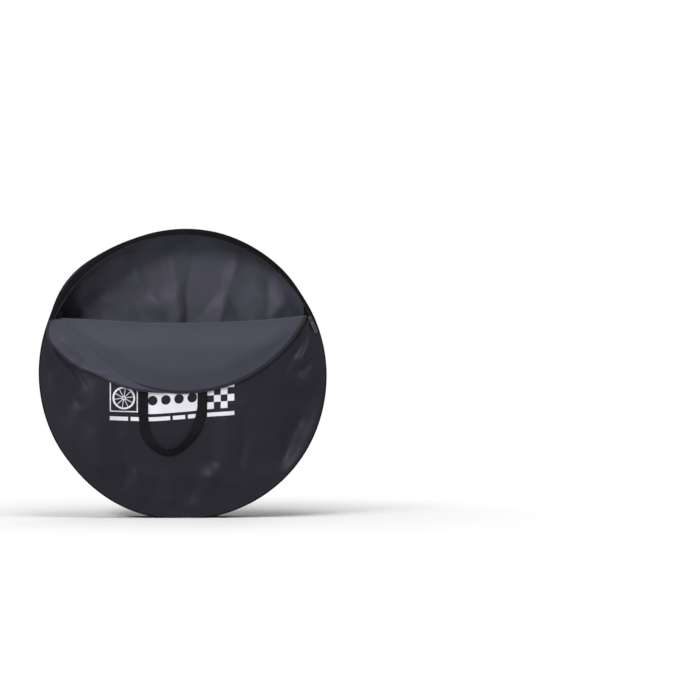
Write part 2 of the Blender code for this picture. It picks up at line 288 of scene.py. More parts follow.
@dataclass(frozen=True)
class Outline:
    """The bag's outline, with the unevenness of slack cloth, as angles in degrees and metres outwards."""

    path: float = 0.3828
    middle: float = Places.middle
    front_swell: tuple[Point2, ...] = (
        (27, -0.004), (34, -0.004), (45, 0.0), (59, 0.0024), (75, 0.0042), (88, 0.0026), (101, 0.0014),
        (111, 0.0), (124, 0.003), (137, 0.0075), (146, 0.006), (157, 0.001), (186, -0.003), (209, -0.004),
        (219, -0.005), (248, 0.0), (292, 0.0), (322, 0.0), (350, -0.003),
    )
    back_swell: tuple[Point2, ...] = (
        (27, -0.006), (34, -0.004), (45, 0.0), (59, 0.002), (75, 0.004), (88, 0.003), (101, 0.001),
        (111, 0.0), (123, 0.004), (136, 0.012), (145, 0.0115), (158, 0.002), (186, -0.003), (209, -0.004),
        (219, -0.006), (248, 0.0), (292, 0.0), (322, -0.001), (350, -0.003),
    )

    def reach(self, angle: float, side: Side) -> float:
        """Radius of the piping's middle line at this angle."""
        swell = self.front_swell if side is Side.FRONT else self.back_swell
        return self.path + through(swell, math.degrees(angle) % 360.0, 360.0)

    def point(self, angle: float, inset: float, floor: float, side: Side) -> Point2:
        """A place this far inside the piping's middle line, as (x, z)."""
        x, z = on_circle(self.reach(angle, side) - inset, angle)
        return x, above_floor(self.middle + z, floor)


@dataclass(frozen=True)
class Crease:
    """One soft fold in the cloth, from start to end, measured from the middle of the bag."""

    start: Point2
    end: Point2
    width: float
    height: float
    wander: Wave = (0.012, 0.07, 4.0)
    past_ends: float = 0.12
    fade: float = 0.3
    flank: float = 1.5

    def lift(self, x: float, z: float) -> float:
        """How far this fold lifts the cloth at (x, z).

        Args:
            x: place across, from the bag's middle.
            z: place up, from the bag's middle.

        Returns:
            The lift, in metres.
        """
        ax, az = self.start
        dx, dz = self.end[0] - ax, self.end[1] - az
        length = math.hypot(dx, dz)
        along = ((x - ax) * dx + (z - az) * dz) / length
        across = ((x - ax) * dz - (z - az) * dx) / length
        across += sway(x, z, self.wander)
        share = along / length
        ends = smooth_step(min(share + self.past_ends, 1.0 + self.past_ends - share) / self.fade)
        return self.height * math.exp(-((abs(across) / self.width) ** self.flank)) * ends


@dataclass(frozen=True)
class Folds:
    """All that lifts one sheet: its creases, then waves and crests of a height, size and seed."""

    creases: tuple[Crease, ...]
    waves: tuple[Wave, ...] = ()
    crests: tuple[Wave, ...] = ()

    def lift(self, x: float, z: float) -> float:
        """How far the sheet is lifted at (x, z).

        Args:
            x: place across, from the bag's middle.
            z: place up, from the bag's middle.

        Returns:
            The lift, in metres.
        """
        lift = sum(crease.lift(x, z) for crease in self.creases)
        lift += sum(sway(x, z, wave) for wave in self.waves)
        return lift + sum(crumple(x, z, wave) for wave in self.crests)


# Meshes


def add_object(name: str, data: bpy.types.ID) -> Piece:
    """Adds an object with this data to the scene.

    Args:
        name: name of the object.
        data: its mesh, lamp or camera.

    Returns:
        The new object.
    """
    obj = bpy.data.objects.new(name, data)
    bpy.context.scene.collection.objects.link(obj)
    return obj


@contextmanager
def reshaped(data: bpy.types.Mesh) -> Iterator[bmesh.types.BMesh]:
    """Opens a mesh for bmesh work and writes it back.

    Args:
        data: the mesh.

    Returns:
        The open mesh, for a with block.
    """
    shape = bmesh.new()
    shape.from_mesh(data)
    yield shape
    shape.to_mesh(data)
    shape.free()


@dataclass
class Maker:
    """Makes finished mesh objects and hangs them on the frame."""

    made: list[str] = field(default_factory=list)

    def mesh(
        self,
        name: str,
        points: Sequence[Point3],
        faces: Sequence[Sequence[int]],
        laid: Sequence[Sequence[Point2]] = (),
    ) -> Piece:
        """A mesh object from points and faces.

        Args:
            name: name of the piece.
            points: places in metres.
            faces: point numbers of each face.
            laid: each face's corners laid flat, in metres, for the weave.

        Returns:
            The new object, in the scene.
        """
        data = bpy.data.meshes.new(name)
        data.from_pydata(points, [], faces)
        if laid:
            layer = data.uv_layers.new(name="cloth")
            for index, place in enumerate(place for corners in laid for place in corners):
                layer.data[index].uv = place
        data.validate()
        data.update()
        return add_object(name, data)

    def grid(
        self,
        name: str,
        rows: Sequence[Sequence[Point3]],
        flat: Optional[Sequence[Sequence[Point2]]] = None,
        round_rows: bool = False,
        round_columns: bool = False,
    ) -> Piece:
        """A sheet woven from rows of points, each as long as the first.

        Args:
            name: name of the piece.
            rows: the rows of points.
            flat: the same rows laid flat, in metres.
            round_rows: joins the last row to the first.
            round_columns: joins the last point of each row to its first.

        Returns:
            The new object.
        """
        count, wide = len(rows), len(rows[0])
        faces, laid = [], []
        for i in range(count if round_rows else count - 1):
            for j in range(wide if round_columns else wide - 1):
                k, m = (i + 1) % count, (j + 1) % wide
                faces.append((i * wide + j, i * wide + m, k * wide + m, k * wide + j))
                if flat is not None:
                    laid.append((flat[i][j], flat[i][j + 1], flat[i + 1][j + 1], flat[i + 1][j]))
        return self.mesh(name, [point for row in rows for point in row], faces, laid)

    def woven(
        self, name: str, tall: int, across: int, at: Callable[[int, int], tuple[Point3, Point2]]
    ) -> Piece:
        """A sheet of tall by across cells, where at(i, j) gives a point and its place laid flat.

        Args:
            name: name of the piece.
            tall: how many cells up.
            across: how many cells across.
            at: gives a point and its place laid flat, by row and column.

        Returns:
            The new object.
        """
        cells = [[at(i, j) for j in range(across + 1)] for i in range(tall + 1)]
        rows = [[point for point, _ in row] for row in cells]
        return self.grid(name, rows, [[laid for _, laid in row] for row in cells])

    def copy(self, node: str, name: str) -> Piece:
        """A welded copy of a CAD node without its materials, as the start of a finer piece.

        Args:
            node: the CAD node.
            name: name of the piece.

        Returns:
            The new object.
        """
        data = frame["nodes"][node].data.copy()
        data.name = name
        with reshaped(data) as shape:
            bmesh.ops.remove_doubles(shape, verts=shape.verts, dist=2e-6)
            bmesh.ops.dissolve_limit(
                shape, angle_limit=math.radians(1.0), verts=shape.verts, edges=shape.edges
            )
            bmesh.ops.recalc_face_normals(shape, faces=shape.faces)
        data.materials.clear()
        return add_object(name, data)

    def settle(self, obj: Piece) -> Piece:
        """Turns an object with modifiers into a plain mesh.

        Args:
            obj: the object.

        Returns:
            The same object.
        """
        graph = bpy.context.evaluated_depsgraph_get()
        graph.update()
        data = bpy.data.meshes.new_from_object(obj.evaluated_get(graph), depsgraph=graph)
        obj.modifiers.clear()
        old = obj.data
        obj.data = data
        if old.users == 0:
            bpy.data.meshes.remove(old)
        data.name = obj.name
        return obj

    def thicken(self, obj: Piece, thickness: float, lined: bool = True) -> None:
        """Gives a sheet its thickness.

        Args:
            obj: the sheet.
            thickness: how thick it gets.
            lined: grows it backwards, with its second material, if any, on the new side; otherwise it
                grows forwards and each face keeps its own material.
        """
        solid = obj.modifiers.new("thickness", "SOLIDIFY")
        solid.thickness = thickness
        solid.offset = -1.0 if lined else 1.0
        solid.use_even_offset = False
        if lined and len(obj.data.materials) > 1:
            solid.material_offset = 1
            solid.material_offset_rim = 0
        self.settle(obj)

    def soften(self, obj: Piece, width: float, segments: int, angle: float) -> None:
        """Rounds the edges of a hard piece that are sharper than the angle in degrees.

        Args:
            obj: the piece.
            width: how wide the rounding is.
            segments: steps of the rounding.
            angle: edges sharper than this, in degrees, are rounded.
        """
        edge = obj.modifiers.new("edge", "BEVEL")
        edge.width = width
        edge.segments = segments
        edge.limit_method = "ANGLE"
        edge.angle_limit = math.radians(angle)
        edge.harden_normals = False
        self.settle(obj)

    def smooth(self, obj: Piece, angle: float) -> Piece:
        """Shades an object smooth, apart from edges sharper than the angle in degrees.

        Args:
            obj: the object.
            angle: edges sharper than this, in degrees, stay sharp.

        Returns:
            The same object.
        """
        data = obj.data
        data.polygons.foreach_set("use_smooth", [True] * len(data.polygons))
        with reshaped(data) as shape:
            for edge in shape.edges:
                if len(edge.link_faces) == 2:
                    edge.smooth = edge.calc_face_angle(0.0) < math.radians(angle)
        return obj

    def cloth(
        self,
        obj: Piece,
        facing: Facing,
        materials: Sequence[bpy.types.Material],
        thickness: float,
        sharp: float = 50.0,
        lined: bool = True,
    ) -> Piece:
        """Turns, paints, thickens and shades a sheet.

        Args:
            obj: the sheet.
            facing: where most of its first side looks, from any place.
            materials: its first side's finish, then its second side's if that differs.
            thickness: how thick it gets.
            sharp: edges sharper than this, in degrees, stay sharp.
            lined: as in thicken.

        Returns:
            The same sheet.
        """
        total = sum(face.area * face.normal.dot(facing(face.center)) for face in obj.data.polygons)
        if total < 0:
            obj.data.flip_normals()
        for material in materials:
            obj.data.materials.append(material)
        self.thicken(obj, thickness, lined)
        return self.smooth(obj, sharp)

    def hang(self, obj: Piece, part: Part, slot: str, replaces: Sequence[str] = ()) -> Piece:
        """Makes a finished piece ride on its body.

        Args:
            obj: the piece.
            part: the body it moves with.
            slot: the record's material slot.
            replaces: the CAD nodes that it stands for.

        Returns:
            The same piece.
        """
        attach(obj, part.value)
        return self.enter(obj, slot, replaces)

    def enter(self, obj: Piece, slot: str, replaces: Sequence[str] = ()) -> Piece:
        """Hides the CAD nodes that a piece stands for and lists the piece as made.

        Args:
            obj: the piece.
            slot: the record's material slot; not used.
            replaces: the CAD nodes.

        Returns:
            The same piece.
        """
        if replaces:
            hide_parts(*replaces)
        self.made.append(obj.name)
        log.info("%s: %d faces", obj.name, len(obj.data.polygons))
        return obj


# Node trees


def new_tree(
    name: str, kind: str, inputs: Sequence[tuple[str, str]], outputs: Sequence[tuple[str, str]]
) -> tuple[Tree, Node, Node]:
    """An empty node group.

    Args:
        name: name of the group.
        kind: type of the tree.
        inputs: name and kind of each input.
        outputs: name and kind of each output.

    Returns:
        The tree, its input node and its output node.
    """
    tree = bpy.data.node_groups.new(name, kind)
    for side, sockets in (("INPUT", inputs), ("OUTPUT", outputs)):
        for label, socket in sockets:
            tree.interface.new_socket(label, in_out=side, socket_type="NodeSocket" + socket)
    return tree, tree.nodes.new("NodeGroupInput"), tree.nodes.new("NodeGroupOutput")


def add_node(tree: Tree, kind: str, inputs: Optional[dict] = None, **settings) -> Node:
    """Adds a node to a tree.

    Args:
        tree: the tree.
        kind: type of the node.
        inputs: for each input, by name or number, a value or the output that feeds it.
        settings: the node's own settings.

    Returns:
        The new node.
    """
    node = tree.nodes.new(kind)
    for name, value in settings.items():
        setattr(node, name, value)
    for key, value in (inputs or {}).items():
        if isinstance(value, Socket):
            tree.links.new(value, node.inputs[key])
        else:
            node.inputs[key].default_value = value
    return node


def add_sum(tree: Tree, operation: str, *values) -> Socket:
    """Adds one sum, with outputs or numbers as its values."""
    return add_node(tree, "ShaderNodeMath", dict(enumerate(values)), operation=operation).outputs[0]


# Finishes


class NodeBook:
    """Shader node groups that several materials share."""

    def __init__(self) -> None:
        """Builds each group once."""
        self.weave = self._weave()
        self.crinkle = self._crinkle()
        self.wear = self._wear()

    @staticmethod
    def _weave() -> Tree:
        """Over-and-under threads on the cloth's own flat map.

        Returns:
            The group.
        """
        tree, given, out = new_tree(
            "woven threads", "ShaderNodeTree", (("Flat", "Vector"), ("Thread", "Float")),
            (("Height", "Float"),),
        )
        split = add_node(tree, "ShaderNodeSeparateXYZ", {0: given.outputs["Flat"]})
        turn = add_sum(tree, "DIVIDE", math.pi, given.outputs["Thread"])
        across, along = (
            add_sum(tree, "SINE", add_sum(tree, "MULTIPLY", split.outputs[i], turn)) for i in range(2)
        )
        cross = add_sum(tree, "MULTIPLY", across, along)
        tree.links.new(add_sum(tree, "MULTIPLY_ADD", cross, 0.5, 0.5), out.inputs["Height"])
        return tree

    @staticmethod
    def _crinkle() -> Tree:
        """Fine crinkles of coated cloth, and broad soft patches.

        Returns:
            The group.
        """
        tree, given, out = new_tree(
            "cloth crinkle", "ShaderNodeTree", (("Place", "Vector"), ("Fine", "Float"), ("Broad", "Float")),
            (("Height", "Float"), ("Patch", "Float")),
        )
        place, fine, broad = (given.outputs[label] for label in ("Place", "Fine", "Broad"))
        crinkles = add_node(
            tree, "ShaderNodeTexNoise",
            {"Vector": place, "Scale": fine, "Detail": 3.0, "Roughness": 0.55, "Distortion": 0.6},
        )
        patches = add_node(tree, "ShaderNodeTexNoise", {"Vector": place, "Scale": broad, "Detail": 2.0})
        tree.links.new(crinkles.outputs[0], out.inputs["Height"])
        tree.links.new(patches.outputs[0], out.inputs["Patch"])
        return tree

    @staticmethod
    def _wear() -> Tree:
        """Small rubbed specks, as a mask.

        Returns:
            The group.
        """
        tree, given, out = new_tree(
            "rubbed specks", "ShaderNodeTree", (("Place", "Vector"), ("Size", "Float"), ("Amount", "Float")),
            (("Mask", "Float"),),
        )
        inputs = {"Vector": given.outputs["Place"], "Scale": given.outputs["Size"]}
        specks = add_node(tree, "ShaderNodeTexNoise", {**inputs, "Detail": 5.0, "Roughness": 0.7})
        edge = add_sum(tree, "SUBTRACT", 1.0, given.outputs["Amount"])
        over = add_sum(tree, "SUBTRACT", specks.outputs[0], edge)
        mask = add_node(tree, "ShaderNodeClamp", {0: add_sum(tree, "MULTIPLY", over, 12.0)})
        tree.links.new(mask.outputs[0], out.inputs["Mask"])
        return tree


def toned(colour: Point3, share: float) -> Point3:
    """The colour made lighter or darker by a share of itself."""
    return tuple(min(1.0, max(0.0, part * (1.0 + share))) for part in colour)


@dataclass(frozen=True)
class Surface:
    """A material in the making: its tree, its shader and its coordinates."""

    tree: Tree
    shader: Node
    coordinates: Node

    def group(self, shared: Tree, **values: float) -> Node:
        """Places a shared group, read in the object's own space, with this surface's values."""
        inputs = {"Place": self.coordinates.outputs["Object"], **values}
        return add_node(self.tree, "ShaderNodeGroup", inputs, node_tree=shared)

    def tint(self, mask: Socket, low: Point3, high: Point3, span: Point2 = (0.3, 0.7)) -> Socket:
        """Colours the surface between two tones by a mask, read over this span.

        Args:
            mask: what picks the tone.
            low: the tone at the span's start.
            high: the tone at its end.
            span: the part of the mask between the tones.

        Returns:
            The colour, which the shader now has.
        """
        ramp = add_node(self.tree, "ShaderNodeValToRGB", {0: mask})
        for stop, place, colour in zip(ramp.color_ramp.elements, span, (low, high)):
            stop.position = place
            stop.color = (*colour, 1.0)
        self.tree.links.new(ramp.outputs[0], self.shader.inputs["Base Color"])
        return ramp.outputs[0]

    def vary(self, mask: Socket, low: float, high: float) -> None:
        """Varies the roughness between two levels by a mask."""
        level = add_node(self.tree, "ShaderNodeMapRange", {"Value": mask, "To Min": low, "To Max": high})
        self.tree.links.new(level.outputs[0], self.shader.inputs["Roughness"])

    def bump(self, *heights: tuple[Socket, float, float]) -> None:
        """Chains (height, strength, distance) bumps into the shader's normal.

        Args:
            heights: each bump's height, strength and distance.
        """
        chained = {}
        for height, strength, distance in heights:
            inputs = {"Strength": strength, "Distance": distance, "Height": height, **chained}
            chained = {"Normal": add_node(self.tree, "ShaderNodeBump", inputs).outputs[0]}
        self.tree.links.new(chained["Normal"], self.shader.inputs["Normal"])


@dataclass(frozen=True)
class Finish:
    """What every finish has: its colour and its gloss."""

    name: str
    colour: Point3
    rough: float
    specular: float = 0.5

    def build(self, book: NodeBook) -> bpy.types.Material:
        """Makes the material.

        Args:
            book: the shared groups.

        Returns:
            The finished material.
        """
        material = bpy.data.materials.new(self.name)
        material.use_nodes = True
        material.diffuse_color = (*self.colour, 1.0)
        tree = material.node_tree
        shader = tree.nodes["Principled BSDF"]
        shader.inputs["Base Color"].default_value = (*self.colour, 1.0)
        shader.inputs["Roughness"].default_value = self.rough
        shader.inputs["Specular IOR Level"].default_value = self.specular
        self.cover(Surface(tree, shader, add_node(tree, "ShaderNodeTexCoord")), book)
        return material

    def cover(self, surface: Surface, book: NodeBook) -> None:
        """Adds what makes this kind of surface look as it does."""
        raise NotImplementedError


@dataclass(frozen=True)
class ClothFinish(Finish):
    """Woven nylon with its coating."""

    thread: float = 0.0007
    weave_depth: float = 0.00006
    crinkle_depth: float = 0.0007
    fine: float = 55.0
    patch: float = 0.10
    gleam: Point3 = (0.80, 0.78, 1.0)
    duller: float = 0.07
    glossier: float = 0.06
    crinkle_strength: float = 0.35
    weave_strength: float = 0.5

    def cover(self, surface: Surface, book: NodeBook) -> None:
        """Adds threads, crinkles, soft patches and a cool gleam.

        Args:
            surface: the material in the making.
            book: the shared groups.
        """
        threads = {"Flat": surface.coordinates.outputs["UV"], "Thread": self.thread}
        weave = add_node(surface.tree, "ShaderNodeGroup", threads, node_tree=book.weave)
        crinkle = surface.group(book.crinkle, Fine=self.fine, Broad=4.5)
        surface.tint(
            crinkle.outputs["Patch"], toned(self.colour, -self.patch), toned(self.colour, self.patch)
        )
        surface.vary(crinkle.outputs["Height"], self.rough - self.glossier, self.rough + self.duller)
        surface.shader.inputs["Specular Tint"].default_value = (*self.gleam, 1.0)
        surface.bump(
            (crinkle.outputs["Height"], self.crinkle_strength, self.crinkle_depth),
            (weave.outputs["Height"], self.weave_strength, self.weave_depth),
        )


@dataclass(frozen=True)
class WebbingFinish(Finish):
    """Thick webbing, ribbed along its length with slanting cross threads."""

    rib: float = 0.0022
    slant: float = 0.0016
    lean: float = 1.3
    thread_height: float = 0.35
    rib_height: float = -0.3
    # How far the grooves are painted darker and the raised threads lighter: painted shade and painted
    # highlight.
    darker: float = -0.45
    lighter: float = 0.6
    tone_span: Point2 = (0.1, 0.9)
    strength: float = 0.8
    depth: float = 0.00028
    fuzz_strength: float = 0.2
    fuzz_depth: float = 0.0002

    def cover(self, surface: Surface, book: NodeBook) -> None:
        """Adds ribs and threads from the strap's own flat map, with painted shade in the grooves and painted
        highlights on the raised threads.

        Args:
            surface: the material in the making.
            book: the shared groups.
        """
        tree = surface.tree
        split = add_node(tree, "ShaderNodeSeparateXYZ", {0: surface.coordinates.outputs["UV"]})
        along, across = split.outputs[0], split.outputs[1]
        ribs = add_sum(tree, "COSINE", add_sum(tree, "MULTIPLY", across, math.tau / self.rib))
        side = add_sum(tree, "PINGPONG", across, self.rib / 2)
        slant = add_sum(tree, "MULTIPLY_ADD", side, self.lean, along)
        thread = add_sum(tree, "SINE", add_sum(tree, "MULTIPLY", slant, math.tau / self.slant))
        ridge = add_sum(tree, "MULTIPLY", ribs, self.rib_height)
        height = add_sum(tree, "MULTIPLY_ADD", thread, self.thread_height, ridge)
        level = add_sum(tree, "ADD", height, 0.5)
        # Painted shade and highlight: the colour follows the bump's height, darker in the grooves and lighter
        # on the raised threads.
        low, high = toned(self.colour, self.darker), toned(self.colour, self.lighter)
        surface.tint(level, low, high, self.tone_span)
        fuzz = surface.group(book.crinkle, Fine=900.0, Broad=8.0)
        surface.bump(
            (level, self.strength, self.depth), (fuzz.outputs["Height"], self.fuzz_strength, self.fuzz_depth)
        )


@dataclass(frozen=True)
class HardFinish(Finish):
    """Moulded teeth, painted metal and thread."""

    metallic: float = 0.0
    wear: float = 0.0
    worn: Point3 = (0.4, 0.4, 0.42)
    speck: float = 500.0
    gloss_varies: float = 0.08
    grain_strength: float = 0.15
    grain_depth: float = 0.0001

    def cover(self, surface: Surface, book: NodeBook) -> None:
        """Adds rubbed specks and a fine grain.

        Args:
            surface: the material in the making.
            book: the shared groups.
        """
        surface.shader.inputs["Metallic"].default_value = self.metallic
        specks = surface.group(book.wear, Size=self.speck, Amount=self.wear)
        surface.tint(specks.outputs["Mask"], self.colour, self.worn, (0.0, 1.0))
        grain = surface.group(book.crinkle, Fine=self.speck * 1.5, Broad=30.0)
        surface.vary(grain.outputs["Patch"], self.rough - self.gloss_varies, self.rough + self.gloss_varies)
        surface.bump((grain.outputs["Height"], self.grain_strength, self.grain_depth))


@dataclass(frozen=True)
class PrintFinish(Finish):
    """White transfer print, a little worn."""

    darker: float = -0.14
    lighter: float = 0.05
    rub: float = -0.35
    strength: float = 0.3
    depth: float = 0.0005

    def cover(self, surface: Surface, book: NodeBook) -> None:
        """Adds soft patches and rubbed specks.

        Args:
            surface: the material in the making.
            book: the shared groups.
        """
        patch = surface.group(book.crinkle, Fine=45.0, Broad=14.0)
        specks = surface.group(book.wear, Size=420.0, Amount=0.32)
        low, high = toned(self.colour, self.darker), toned(self.colour, self.lighter)
        tone = surface.tint(patch.outputs["Patch"], low, high)
        rubbed = (*toned(self.colour, self.rub), 1.0)
        inputs = {"Factor": specks.outputs["Mask"], "A": tone, "B": rubbed}
        mix = add_node(surface.tree, "ShaderNodeMix", inputs, data_type="RGBA")
        surface.tree.links.new(mix.outputs["Result"], surface.shader.inputs["Base Color"])
        surface.bump((patch.outputs["Height"], self.strength, self.depth))


class Palette:
    """Every finish on the bag, built once."""

    def __init__(self) -> None:
        """Builds the materials."""
        book = NodeBook()
        self.outer = ClothFinish("outer nylon", (0.0178, 0.0165, 0.0214), 0.38, 0.105).build(book)
        self.inner = ClothFinish(
            "inner coating", (0.0455, 0.0462, 0.0610), 0.58, 0.22,
            thread=0.0009, crinkle_depth=0.0005, patch=0.05,
        ).build(book)
        self.lining = ClothFinish(
            "inside of the back", (0.060, 0.060, 0.077), 0.55, 0.22, thread=0.0009
        ).build(book)
        self.edge = ClothFinish(
            "edge cloth", (0.0035, 0.0036, 0.0042), 0.62, 0.075, thread=0.0008
        ).build(book)
        self.tape = ClothFinish(
            "zip tape", (0.0210, 0.0210, 0.0270), 0.75, 0.18, thread=0.0008, weave_depth=0.00012
        ).build(book)
        self.webbing = WebbingFinish("webbing", (0.0050, 0.0050, 0.0065), 0.78, 0.12).build(book)
        self.teeth = HardFinish(
            "zip teeth", (0.008, 0.008, 0.010), 0.36, 0.40, worn=(0.02, 0.02, 0.022)
        ).build(book)
        self.metal = HardFinish(
            "gunmetal", (0.048, 0.048, 0.052), 0.36, metallic=0.9, wear=0.34, worn=(0.17, 0.17, 0.18)
        ).build(book)
        self.bright = HardFinish(
            "rubbed metal", (0.150, 0.150, 0.157), 0.30, metallic=0.95, wear=0.40, worn=(0.30, 0.30, 0.31)
        ).build(book)
        self.thread = HardFinish(
            "thread", (0.020, 0.020, 0.023), 0.6, 0.3, worn=(0.035, 0.035, 0.037)
        ).build(book)
        self.ink = PrintFinish("transfer print", (0.72, 0.72, 0.77), 0.55, 0.3).build(book)
        log.info("finishes: %d materials", len(vars(self)))


# What repeats along a path, or follows one


@dataclass(frozen=True)
class Unit:
    """What repeats along a path: from one to the next, its length and its radius."""

    pitch: float
    length: float
    thickness: float


SEAM_STITCH = Unit(0.0034, 0.00125, 0.00030)
STRAP_STITCH = Unit(0.0029, 0.00125, 0.00032)


class PathWork:
    """Geometry node trees for stitches, teeth and cords."""

    INPUTS = (
        ("Geometry", "Geometry"), ("Pitch", "Float"), ("Length", "Float"), ("Thickness", "Float"),
        ("Centre", "Vector"), ("Material", "Material"),
    )
    FAR_AHEAD = (0.0, -50.0, 0.0)

    def __init__(self, maker: Maker) -> None:
        """Builds the trees.

        Args:
            maker: turns each run into a plain mesh.
        """
        self.maker = maker
        self.stitches = self._repeated("stitch run", self._stitch)
        self.teeth = self._repeated("tooth row", self._tooth)
        self.cord = self._cord()

    @staticmethod
    def _sizes(tree: Tree, given: Node) -> Socket:
        """A unit's thickness across and its length along, as a scale."""
        thickness, length = given.outputs["Thickness"], given.outputs["Length"]
        return add_node(tree, "ShaderNodeCombineXYZ", {0: thickness, 1: thickness, 2: length}).outputs[0]

    def _stitch(self, tree: Tree, given: Node) -> Socket:
        """One stitch: a short rounded thread along Z.

        Args:
            tree: the tree.
            given: its input node.

        Returns:
            The stitch's geometry.
        """
        ball = add_node(tree, "GeometryNodeMeshUVSphere", {"Segments": 6, "Rings": 5, "Radius": 1.0})
        inputs = {"Geometry": ball.outputs["Mesh"], "Scale": self._sizes(tree, given)}
        return add_node(tree, "GeometryNodeTransform", inputs).outputs[0]

    def _tooth(self, tree: Tree, given: Node) -> Socket:
        """One tooth: a rung along X with a rounded head at its tip.

        Args:
            tree: the tree.
            given: its input node.

        Returns:
            The tooth's geometry.
        """
        thickness, length = given.outputs["Thickness"], given.outputs["Length"]
        rung = add_node(tree, "GeometryNodeMeshCylinder", {"Vertices": 8, "Radius": 1.0, "Depth": 1.0})
        head = add_node(tree, "GeometryNodeMeshUVSphere", {"Segments": 8, "Rings": 5, "Radius": 1.0})
        tip = add_node(tree, "ShaderNodeCombineXYZ", {0: add_sum(tree, "MULTIPLY", length, -0.5)})
        wide = add_node(
            tree, "ShaderNodeVectorMath", {0: (1.25, 1.05, 1.2), "Scale": thickness}, operation="SCALE"
        )
        both = add_node(tree, "GeometryNodeJoinGeometry")
        for inputs in (
            {"Geometry": head.outputs["Mesh"], "Translation": tip.outputs[0], "Scale": wide.outputs[0]},
            {
                "Geometry": rung.outputs["Mesh"], "Rotation": (0.0, math.pi / 2, 0.0),
                "Scale": self._sizes(tree, given),
            },
        ):
            tree.links.new(add_node(tree, "GeometryNodeTransform", inputs).outputs[0], both.inputs[0])
        return both.outputs[0]

    def _repeated(self, name: str, unit: Callable) -> Tree:
        """A tree that sets one unit after another along a path.

        Args:
            name: name of the tree.
            unit: adds the unit's nodes and returns its geometry.

        Returns:
            The tree.
        """
        tree, given, out = new_tree(name, "GeometryNodeTree", self.INPUTS, self.INPUTS[:1])
        curve = add_node(tree, "GeometryNodeMeshToCurve", {"Mesh": given.outputs["Geometry"]})
        inputs = {"Curve": curve.outputs[0], "Length": given.outputs["Pitch"]}
        steps = add_node(tree, "GeometryNodeResampleCurve", inputs, mode="LENGTH")
        inputs = {"Vector": add_node(tree, "GeometryNodeInputTangent").outputs[0]}
        along = add_node(tree, "FunctionNodeAlignRotationToVector", inputs, axis="Z")
        inputs = {0: add_node(tree, "GeometryNodeInputPosition").outputs[0], 1: given.outputs["Centre"]}
        away = add_node(tree, "ShaderNodeVectorMath", inputs, operation="SUBTRACT")
        inputs = {"Rotation": along.outputs[0], "Vector": away.outputs[0]}
        turned = add_node(tree, "FunctionNodeAlignRotationToVector", inputs, axis="X", pivot_axis="Z")
        inputs = {"Points": steps.outputs[0], "Instance": unit(tree, given), "Rotation": turned.outputs[0]}
        return self._painted(tree, given, out, add_node(tree, "GeometryNodeInstanceOnPoints", inputs))

    def _cord(self) -> Tree:
        """A tree that draws a round cord along a path.

        Returns:
            The tree.
        """
        tree, given, out = new_tree("piped cord", "GeometryNodeTree", self.INPUTS, self.INPUTS[:1])
        curve = add_node(tree, "GeometryNodeMeshToCurve", {"Mesh": given.outputs["Geometry"]})
        inputs = {"Resolution": 12, "Radius": given.outputs["Thickness"]}
        ring = add_node(tree, "GeometryNodeCurvePrimitiveCircle", inputs)
        inputs = {"Curve": curve.outputs[0], "Profile Curve": ring.outputs[0]}
        return self._painted(tree, given, out, add_node(tree, "GeometryNodeCurveToMesh", inputs))

    @staticmethod
    def _painted(tree: Tree, given: Node, out: Node, last: Node) -> Tree:
        """Ends a tree: its last node's shapes become real, smooth and painted.

        Args:
            tree: the tree.
            given: its input node.
            out: its output node.
            last: the node that makes the shapes.

        Returns:
            The same tree.
        """
        real = add_node(tree, "GeometryNodeRealizeInstances", {0: last.outputs[0]})
        smooth = add_node(tree, "GeometryNodeSetShadeSmooth", {0: real.outputs[0]})
        inputs = {"Geometry": smooth.outputs[0], "Material": given.outputs["Material"]}
        tree.links.new(add_node(tree, "GeometryNodeSetMaterial", inputs).outputs[0], out.inputs[0])
        return tree

    def run(
        self,
        name: str,
        tree: Tree,
        paths: Sequence[Sequence[Point3]],
        material: bpy.types.Material,
        unit: Unit,
        centre: Point3 = FAR_AHEAD,
        closed: bool = False,
    ) -> Piece:
        """Runs a tree along paths and keeps the result as a plain mesh.

        Args:
            name: name of the piece.
            tree: the tree to run.
            paths: the lines that it follows.
            material: its finish.
            unit: sizes of what repeats.
            centre: the point that each unit's inner end faces.
            closed: joins each path's end to its start.

        Returns:
            The new piece.
        """
        points, edges = [], []
        for path in paths:
            first = len(points)
            points += [tuple(p) for p in path]
            edges += [(first + i, first + i + 1) for i in range(len(path) - 1)]
            if closed:
                edges.append((first + len(path) - 1, first))
        data = bpy.data.meshes.new(name)
        data.from_pydata(points, edges, [])
        obj = add_object(name, data)
        modifier = obj.modifiers.new("work", "NODES")
        modifier.node_group = tree
        values = {
            "Pitch": unit.pitch, "Length": unit.length, "Thickness": unit.thickness, "Centre": centre,
            "Material": material,
        }
        for item in tree.interface.items_tree:
            if item.item_type == "SOCKET" and item.in_out == "INPUT" and item.name in values:
                modifier[item.identifier] = values[item.name]
        return self.maker.settle(obj)


@dataclass
class Bench:
    """What each sub-assembly is made with."""

    maker: Maker
    palette: Palette
    work: PathWork
    places: Places
    outline: Outline

    def sew(
        self,
        name: str,
        paths: Sequence[Sequence[Point3]],
        part: Part,
        slot: str,
        unit: Unit = SEAM_STITCH,
        closed: bool = False,
    ) -> Piece:
        """Runs stitches along paths and hangs them on a body."""
        obj = self.work.run(name, self.work.stitches, paths, self.palette.thread, unit, closed=closed)
        return self.maker.hang(obj, part, slot)

    def cast(
        self, node: str, name: str, part: Part, width: float, segments: int = 2, angle: float = 35.0
    ) -> None:
        """Makes a metal piece with rounded edges from a CAD node.

        Args:
            node: the CAD node that it stands for.
            name: name of the piece.
            part: the body it moves with.
            width: how wide the rounding is.
            segments: steps of the rounding.
            angle: edges sharper than this, in degrees, are rounded.
        """
        obj = self.maker.copy(node, name)
        obj.data.materials.append(self.palette.metal)
        self.maker.soften(obj, width, segments, angle)
        self.maker.hang(self.maker.smooth(obj, angle=30.0), part, "zip_metal", [node])


# The shell of the bag


